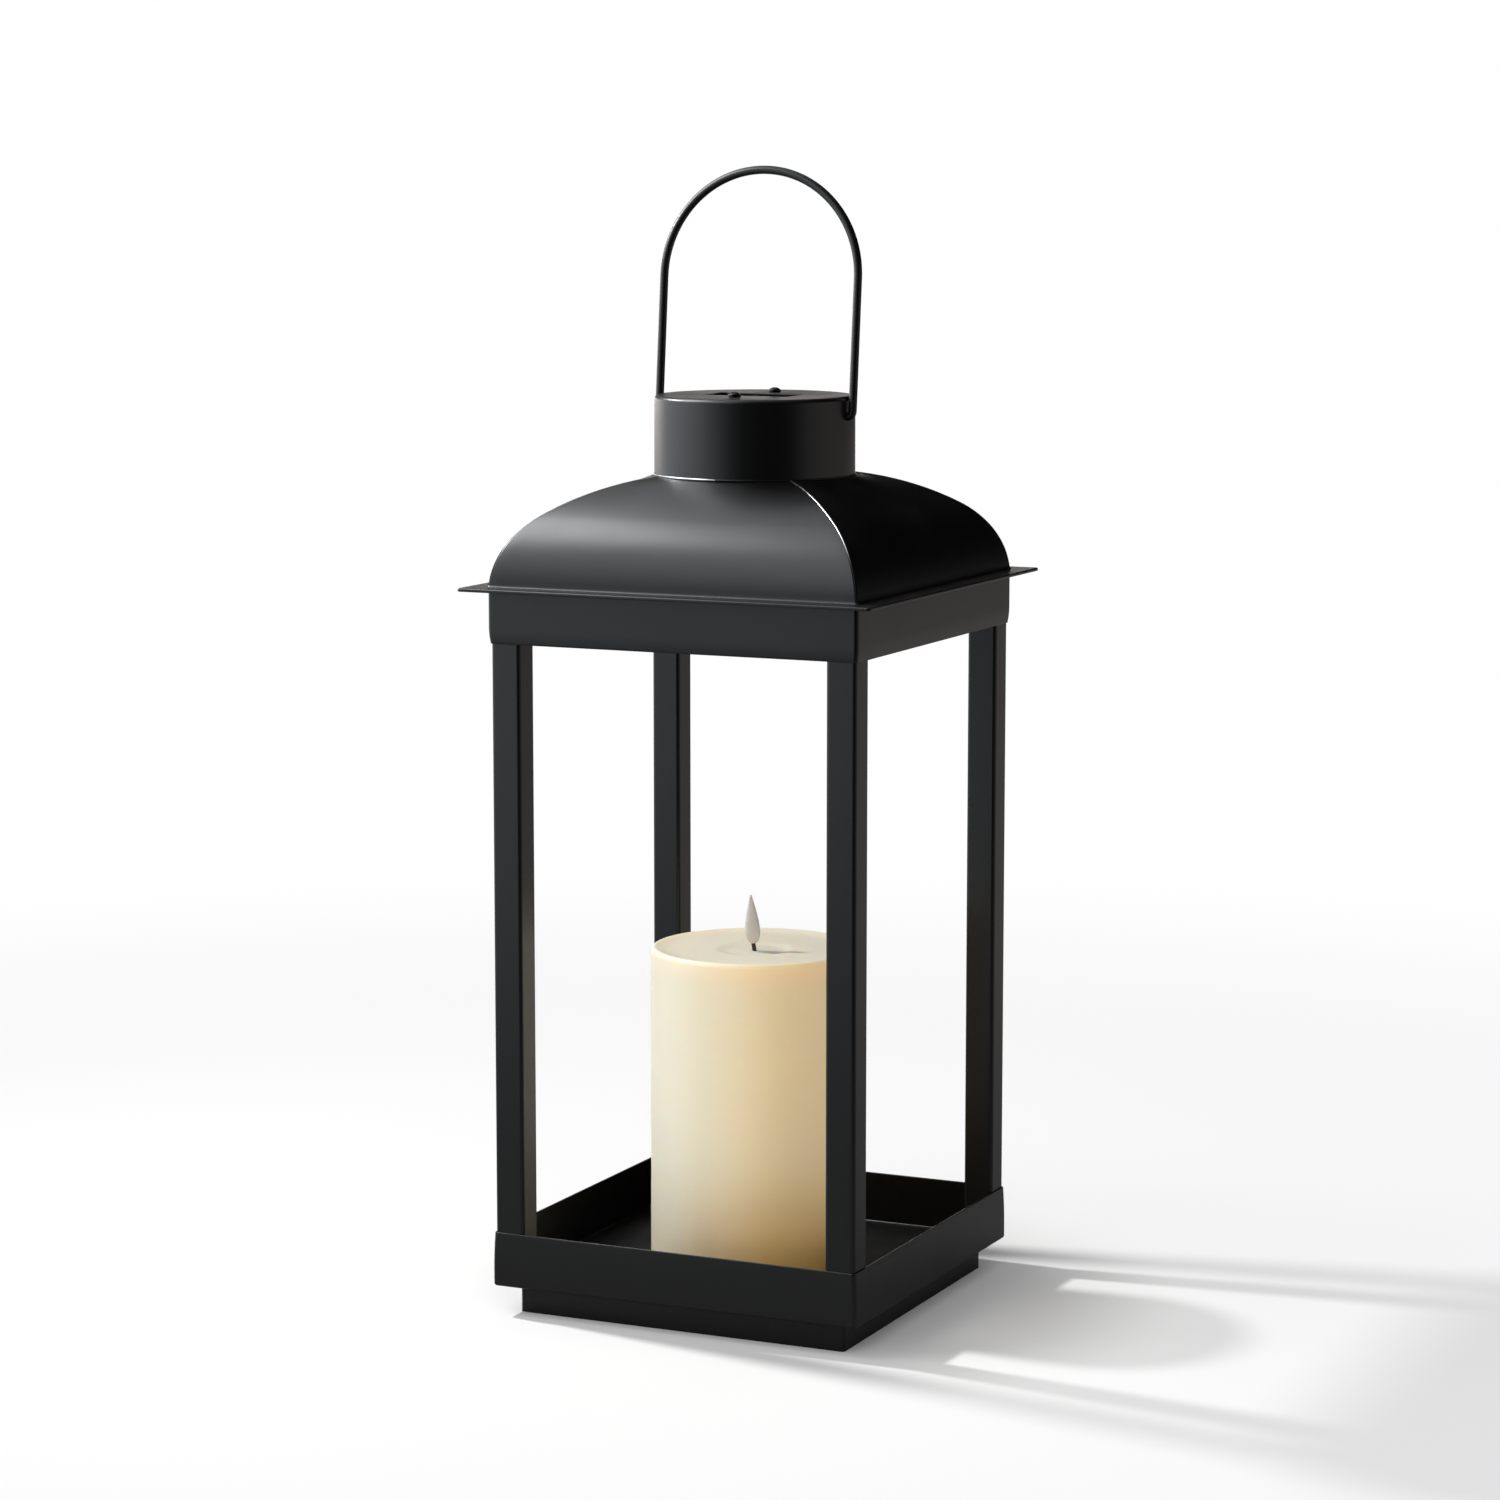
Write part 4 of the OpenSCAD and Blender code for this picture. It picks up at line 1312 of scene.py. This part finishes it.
@dataclass
class Candle:
    """Hollow wax pillar with a dished top, a melt pool and a moulded flame.

    Attributes:
        foot_roll: insets and rises of the wall's foot.
        lip: the flat's width inside the rolled edge, before the dish is cut.
        waver: how far the walls waver.
        waves: scale and share of the waver's broad and fine parts.
        offset: where the fine part is read, so that it doesn't follow the broad one.
        still_r: the distance from the axis within which nothing wavers.
        flame_belly: control points of the flame's outline, as shares of its foot's radius and height.
        flame_tip: its outline at the tip, as distances from the axis and below the top.
        seat: the play between flame and wick.
        heading: the plan angle, in degrees, towards which wick and flame lean.
    """

    radius: float = 50.8 * MM
    foot_z: float = 15.2 * MM
    foot_roll: tuple[Pair, ...] = ((0.8 * MM, 0.0), (0.2 * MM, 0.2 * MM), (0.0, 0.9 * MM))
    top_z: float = 171.5 * MM
    edge_r: float = 2.4 * MM
    lip: float = 0.4 * MM
    dish: float = 1.5 * MM
    dish_slope: float = 9.0 * MM
    pool: float = 1.1 * MM
    pool_slope: float = 7.5 * MM
    pool_r: float = 20.0 * MM
    bore_r: float = 45.8 * MM
    roof_z: float = 161.4 * MM
    hole_r: float = 0.9 * MM
    waver: float = 0.22 * MM
    waves: tuple[Pair, ...] = ((26.0, 0.7), (70.0, 0.3))
    offset: Direction = (3.0, 5.0, 7.0)
    still_r: float = 46.3 * MM
    steps: int = 144
    wall_steps: int = 30
    edge_steps: int = 8
    top_steps: int = 58
    flame_foot_r: float = 1.9 * MM
    flame_h: float = 23.7 * MM
    flame_flat: float = 0.94
    flame_belly: tuple[Pair, Pair] = ((2.7, 0.17), (1.8, 0.46))
    flame_steps: int = 32
    flame_sides: int = 40
    flame_tip: tuple[Pair, ...] = ((0.5 * MM, 0.35 * MM), (0.32 * MM, 0.1 * MM), (0.0, 0.0))
    flame_lean: float = 3.0
    socket: tuple[Pair, ...] = ((0.0, 5.05 * MM), (0.95 * MM, 4.66 * MM), (1.35 * MM, 3.7 * MM),
                                 (1.35 * MM, 0.0))
    seat: float = 0.02 * MM
    heading: float = 205.3
    wick_foot_z: float = 168.4 * MM
    wick_len: float = 4.4 * MM
    wick_lean: float = 9.0

    def build(self) -> None:
        """Makes the wax and the flame."""
        self._wax()
        self._flame()

    def _dish_z(self, r: float) -> float:
        """Height of the dished top.

        Args:
            r: the distance from the axis.

        Returns:
            The height.
        """
        fall = min(max((self.radius - self.edge_r - r) / self.dish_slope, 0.0), 1.0)
        melt = min(max((self.pool_r - r) / self.pool_slope, 0.0), 1.0)
        ease = melt * melt * (3.0 - 2.0 * melt)
        return self.top_z - self.dish * fall * (2.0 - fall) - self.pool * ease

    def _wax(self) -> None:
        """Turned shell of wax with slightly wavering walls."""
        foot = [(self.radius - inset, self.foot_z + rise) for inset, rise in self.foot_roll]
        heights = spread(self.foot_z, self.top_z - self.edge_r, self.wall_steps)
        wall = [(self.radius, z) for z in heights[1:-1]]
        edge = rolled(self.radius, self.top_z, self.edge_r, self.edge_steps)
        reach = self.radius - self.edge_r - self.lip
        top = [(r, self._dish_z(r)) for r in spread(reach, self.hole_r, self.top_steps)]
        core = [(self.hole_r, self.roof_z), (self.bore_r, self.roof_z), (self.bore_r, self.foot_z)]
        blank = Blank("wax_shell")
        blank.lathe([*foot, *wall, *edge, *top, *core], self.steps, closed=True)

        def rule(co: Vector) -> Vector:
            """One point of the wax, let in or out a little on the outer wall.

            Args:
                co: the point.

            Returns:
                Its new place.
            """
            r = co.xy.length
            if r < self.still_r:
                return co
            broad, fine = self.waves
            wave = noise.noise(co * broad[0]) * broad[1]
            wave += noise.noise(co * fine[0] + Vector(self.offset)) * fine[1]
            scale = 1.0 + self.waver * (wave - 0.5) / r
            return Vector((co.x * scale, co.y * scale, co.z))

        blank.shape(rule)
        blank.settle(Surface.WAX, "candle_wax", body=Body.CANDLE, trim=Trim(bend=50.0))

    def _flame(self) -> None:
        """Moulded flame, a slim drop with a socket for the lamp, seated on the leaning wick."""
        a, h = self.flame_foot_r, self.flame_h
        tip = [(r, h - drop) for r, drop in self.flame_tip]
        points = [(a, 0.0), *((out * a, up * h) for out, up in self.flame_belly), tip[0]]

        def curve(t: float) -> Pair:
            """A point of the flame's outline."""
            w = ((1 - t) ** 3, 3 * t * (1 - t) ** 2, 3 * t * t * (1 - t), t ** 3)
            return sum(k * p[0] for k, p in zip(w, points)), sum(k * p[1] for k, p in zip(w, points))

        outline = [curve(t) for t in spread(0.0, 1.0, self.flame_steps)]
        blank = Blank("flame_drop")
        blank.lathe([*self.socket, *outline, *tip[1:]], self.flame_sides)
        blank.shape(lambda co: Vector((co.x, co.y * self.flame_flat, co.z)))
        lean, head = math.radians(self.wick_lean), math.radians(self.heading)
        seat = MM * math.sin(math.radians(abs(self.wick_lean - self.flame_lean))) + self.seat
        wick = Vector((math.cos(head), math.sin(head), 0.0)) * math.sin(lean) + UP * math.cos(lean)
        blank.turn(self.flame_lean, BACK)
        blank.turn(self.heading)
        blank.move(UP * self.wick_foot_z + (self.wick_len + seat) * wick)
        blank.settle(Surface.FLAME, "candle_flame", body=Body.CANDLE, trim=Trim(bend=55.0))


@dataclass
class Fittings:
    """Small solids taken over from the frame, with rolled edges or as they are.

    Attributes:
        rolled: each larger fitting's finish, body and rolled edge.
        plain: the finish of each fitting that stays as it is.
    """

    rolled: dict[str, tuple[Surface, Body, float]] = field(default_factory=lambda: {
        "base_plinth": (Surface.METAL, Body.FRAME, 0.4 * MM),
        "heat_baffle": (Surface.METAL, Body.FRAME, 0.25 * MM),
        "cap_screws": (Surface.SCREW, Body.FRAME, 0.12 * MM),
        "cap_nuts": (Surface.PLATED, Body.FRAME, 0.15 * MM),
        "candle_base": (Surface.IVORY, Body.CANDLE, 0.2 * MM),
        "battery_cover": (Surface.IVORY, Body.COVER, 0.25 * MM),
        "power_switch": (Surface.BLACK, Body.SWITCH, 0.15 * MM),
        "stem_tube": (Surface.IVORY, Body.CANDLE, 0.15 * MM),
    })
    plain: dict[str, Surface] = field(default_factory=lambda: {
        "battery_front": Surface.CELL_FRONT, "battery_back": Surface.CELL_BACK,
        "contact_springs": Surface.PLATED, "contact_plates": Surface.PLATED,
        "switch_body": Surface.BLACK, "driver_board": Surface.BOARD,
        "board_screws": Surface.PLATED, "lamp_wires": Surface.LEADS,
        "flame_lamp": Surface.LAMP, "candle_wick": Surface.WICK,
    })

    def build(self) -> None:
        """Rolls the edges of copies of the larger fittings and dresses the rest."""
        for node, (surface, body, arris) in self.rolled.items():
            blank = Blank(f"{node}_rolled")
            blank.bm.from_mesh(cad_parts[node].data)
            blank.merge()
            blank.settle(surface, node, body=body, trim=Trim(arris=arris, bend=35.0))
        for node, surface in self.plain.items():
            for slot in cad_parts[node].material_slots:
                slot.material = surface.material()
            LOG.info("node %s in %s", node, surface.name.lower())


# ---------- studio ----------


class Side(NamedTuple):
    """A side of the room: where its middle is, the cosines at which it ends and is whole, and its tone."""

    towards: Direction
    edge: float
    full: float
    tone: float = 1.0

    def light(self, g: Graph, vector: Link) -> Link:
        """The side's light in a direction."""
        return g.smooth(g.along(vector, self.towards), self.edge, self.full) * self.tone


class Outline(Enum):
    """The outlines that a lamp can have."""

    ROUND = "DISK"
    SQUARE = "SQUARE"


class Ray(Enum):
    """The kinds of ray that a lamp can be hidden from."""

    CAMERA = "visible_camera"
    GLOSSY = "visible_glossy"
    DIFFUSE = "visible_diffuse"


@dataclass(frozen=True)
class Lamp:
    """A flat soft lamp that hangs at one point and looks at another.

    Attributes:
        even: whether its light stays as strong with distance.
        unseen: the kinds of ray that don't see it.
    """

    name: str
    outline: Outline
    at: Direction
    aim: Direction
    size: float
    power: float
    even: bool = False
    unseen: tuple[Ray, ...] = ()

    def hang(self) -> None:
        """Makes the lamp."""
        data = bpy.data.lights.new(self.name, "AREA")
        data.shape = self.outline.value
        data.size = self.size
        data.energy = self.power
        if self.even:
            g = Graph(data)
            steady = g.node("ShaderNodeLightFalloff", None, {"Strength": 1.0}, "Constant")
            glow = g.node("ShaderNodeEmission", None, {"Strength": steady})
            g.node("ShaderNodeOutputLight", None, {"Surface": glow})
        lamp = put(self.name, data)
        lamp.location = self.at
        lamp.rotation_euler = (Vector(self.at) - Vector(self.aim)).to_track_quat("Z", "Y").to_euler()
        for ray in self.unseen:
            setattr(lamp, ray.value, False)


@dataclass
class Studio:
    """White surround, pale floor, three lamps from the left, and the camera.

    Attributes:
        front, low_right, rear: light on matt surfaces from these sides; ambient comes from all round.
        bright, right, dim, back: sides of the room in gloss, in plan; dim is dark, back glows low.
        sky, canopy_towards: a paler patch overhead behind, and the bright canopy overhead in front.
        cool: the part of the room that gloss shows a little blue.
        glow_fade, ring_fade, low_fade: heights over which glow, sides and low light end.
        canopy_rise: heights over which the canopy sets in.
        pale: the floor's pale side in gloss, in plan, which sets in over pale_from.
        floor_lift: share of plain white in the floor near the lantern, which sets in over lift_from.
        clear_from: distances over which the camera sees the floor turn plain white.
        ground_tone: tone of the floor in gloss, further out.
        ground_gloss: share of the floor as it is lit that gloss sees near the lantern.
        away_from: distances over which that share gives way to the tone.
    """

    camera_at: Direction = (0.85679, -1.85890, 0.55168)
    pan: float = 24.81
    pitch: float = 7.907
    lens: float = 102.678
    sensor: float = 36.0
    lamps: tuple[Lamp, ...] = (
        Lamp("key", Outline.ROUND, (-0.618, -0.005, 0.741), (0.0, 0.0, 0.20), 0.06, 6.6, even=True),
        Lamp("soft_box", Outline.SQUARE, (-0.66, -0.47, 1.44), (0.0, -0.08, 0.38), 0.50, 2.8,
             unseen=(Ray.GLOSSY,)),
        Lamp("sheen", Outline.SQUARE, (-0.38, -0.128, 0.747), (-0.05, -0.07, 0.375), 0.35, 3.2,
             unseen=(Ray.DIFFUSE, Ray.CAMERA)),
    )
    front: Side = Side((0.0, -0.98, 0.18), 0.0, 0.9, 1.15)
    low_right: Side = Side((0.966, -0.259, 0.0), 0.3, 1.0, 1.15)
    rear: Side = Side((0.0, 0.94, 0.34), 0.5, 1.0, 0.25)
    ambient: float = 0.09
    base_tone: float = 0.014
    bright: Side = Side((-0.940, -0.342, 0.0), 0.64, 1.0, 2.2)
    right: Side = Side((0.996, -0.09, 0.0), 0.45, 0.85, 0.38)
    dim: Side = Side((0.6127, -0.7899, 0.0), 0.60, 0.92)
    back: Side = Side((-0.707, 0.707, 0.0), 0.80, 0.94, 3.5)
    sky: Side = Side((-0.55, 0.35, 0.76), 0.76, 0.98, 0.6)
    cool: Side = Side((-0.46, -0.62, 0.636), 0.0, 0.45)
    canopy_towards: Direction = (-0.46, -0.62, 0.636)
    canopy_tone: float = 1.95
    cool_colour: Colour = (0.93, 0.99, 1.04, 1.0)
    warm_colour: Colour = (1.05, 0.985, 0.955, 1.0)
    glow_fade: Pair = (0.03, 0.12)
    ring_fade: Pair = (0.08, 0.26)
    canopy_rise: Pair = (0.0, 0.42)
    low_fade: Pair = (0.1, 0.5)
    white: Colour = (1.0, 1.0, 1.0, 1.0)
    floor_colour: Colour = (0.93, 0.93, 0.93, 1.0)
    floor_size: float = 6.0
    floor_lift: float = 0.47
    lift_from: Pair = (0.13, 0.22)
    clear_from: Pair = (0.35, 1.3)
    pale_from: Pair = (0.3, 2.6)
    away_from: Pair = (0.2, 1.0)
    pale: Side = Side((-0.819, -0.574, 0.0), 0.55, 0.92, 3.0)
    ground_tone: float = 0.35
    ground_gloss: float = 0.30

    def build(self) -> None:
        """Sets up world, floor, lamps and camera."""
        self._world()
        self._floor()
        for lamp in self.lamps:
            lamp.hang()
        self._camera()
        bpy.context.scene.view_settings.view_transform = "Standard"

    @staticmethod
    def _plan(g: Graph, vector: Link) -> Link:
        """The plan direction of a vector, of length 1."""
        return g.vector("NORMALIZE", g.vector("MULTIPLY", vector, (1.0, 1.0, 0.0)))

    def _tint(self, g: Graph, towards: Link, shiny: Link) -> Link:
        """Colour of the room: white, but in gloss cool on the bright side and warm elsewhere.

        Args:
            g: the graph that the nodes go into.
            towards: the direction looked in, of length 1.
            shiny: 1 for gloss and 0 otherwise.

        Returns:
            The colour.
        """
        cool = self.cool.light(g, towards)
        return g.mix(shiny, self.white, g.mix(cool, self.warm_colour, self.cool_colour))

    def _world(self) -> None:
        """White surround: its light on matt surfaces, and the room that gloss shows."""
        world = bpy.data.worlds.new("surround")
        g = Graph(world)
        ray, shiny = g.seen()
        towards = g.node("ShaderNodeTexCoord", out="Generated")
        plan = self._plan(g, towards)
        height = g.axis(towards, "Z")
        sides = self.bright.light(g, plan) + self.right.light(g, plan) + self.base_tone
        glow = self.back.light(g, plan) * (1.0 - g.smooth(height, *self.glow_fade))
        ring = sides * (1.0 - g.smooth(height, *self.ring_fade)) + glow
        canopy = g.math("MAXIMUM", g.along(towards, self.canopy_towards), 0.0) ** 2.0
        above = canopy * g.smooth(height, *self.canopy_rise) * self.canopy_tone
        tone = (ring + above + self.sky.light(g, towards)) * (1.0 - self.dim.light(g, plan))
        low = 1.0 - g.smooth(height, *self.low_fade)
        beside = self.low_right.light(g, towards) * low
        matt = self.front.light(g, towards) + beside + self.rear.light(g, towards) + self.ambient
        soft = (1.0 - ray) * (1.0 - shiny) * matt
        back = g.node("ShaderNodeBackground", None,
                      {"Color": self._tint(g, towards, shiny), "Strength": ray + shiny * tone + soft})
        g.node("ShaderNodeOutputWorld", None, {"Surface": back})
        bpy.context.scene.world = world

    def _floor(self) -> None:
        """Floor that takes the lantern's shadow and turns plain white further out."""
        material = bpy.data.materials.new("studio_floor")
        g = Graph(material)
        place = g.place()
        ray, shiny = g.seen()
        far = g.vector("LENGTH", place, out="Value")
        plan = self._plan(g, place)
        lift = g.smooth(far, *self.lift_from) * self.floor_lift
        clear = g.smooth(far, *self.clear_from) * (1.0 - self.floor_lift) + lift
        pale = self.pale.light(g, plan) * g.smooth(far, *self.pale_from)
        away = g.smooth(far, *self.away_from)
        tone = (pale + 1.0) * self.ground_tone * (1.0 - self.dim.light(g, plan)) * away
        matt = g.node("ShaderNodeBsdfDiffuse", None, {"Color": self.floor_colour})
        tint = self._tint(g, g.vector("NORMALIZE", place), shiny)
        white = g.node("ShaderNodeEmission", None, {"Color": tint, "Strength": ray + shiny * tone})
        share = clear * ray + (away * self.ground_gloss + (1.0 - self.ground_gloss)) * shiny
        both = g.node("ShaderNodeMixShader", None, {0: share, 1: matt, 2: white})
        g.node("ShaderNodeOutputMaterial", None, {"Surface": both})
        blank = Blank("floor")
        bmesh.ops.create_grid(blank.bm, x_segments=1, y_segments=1, size=self.floor_size)
        floor = blank.piece(material)

    def _camera(self) -> None:
        """Camera at the front, a little to the right and above."""
        data = bpy.data.cameras.new("camera")
        data.lens = self.lens
        data.sensor_width = self.sensor
        camera = put("camera", data)
        camera.location = self.camera_at
        camera.rotation_euler = (math.radians(90.0 - self.pitch), 0.0, math.radians(self.pan))
        bpy.context.scene.camera = camera


def main() -> None:
    """Builds the sub-assemblies in order, then the studio."""
    logging.basicConfig(level=logging.INFO, format="%(name)s: %(message)s")
    for part in (SheetFrame(), HipRoof(), ChimneyCap(), Bail(), Candle(), Fittings(), Studio()):
        LOG.info("building %s", type(part).__name__)
        part.build()


if __name__ == "__main__":
    main()
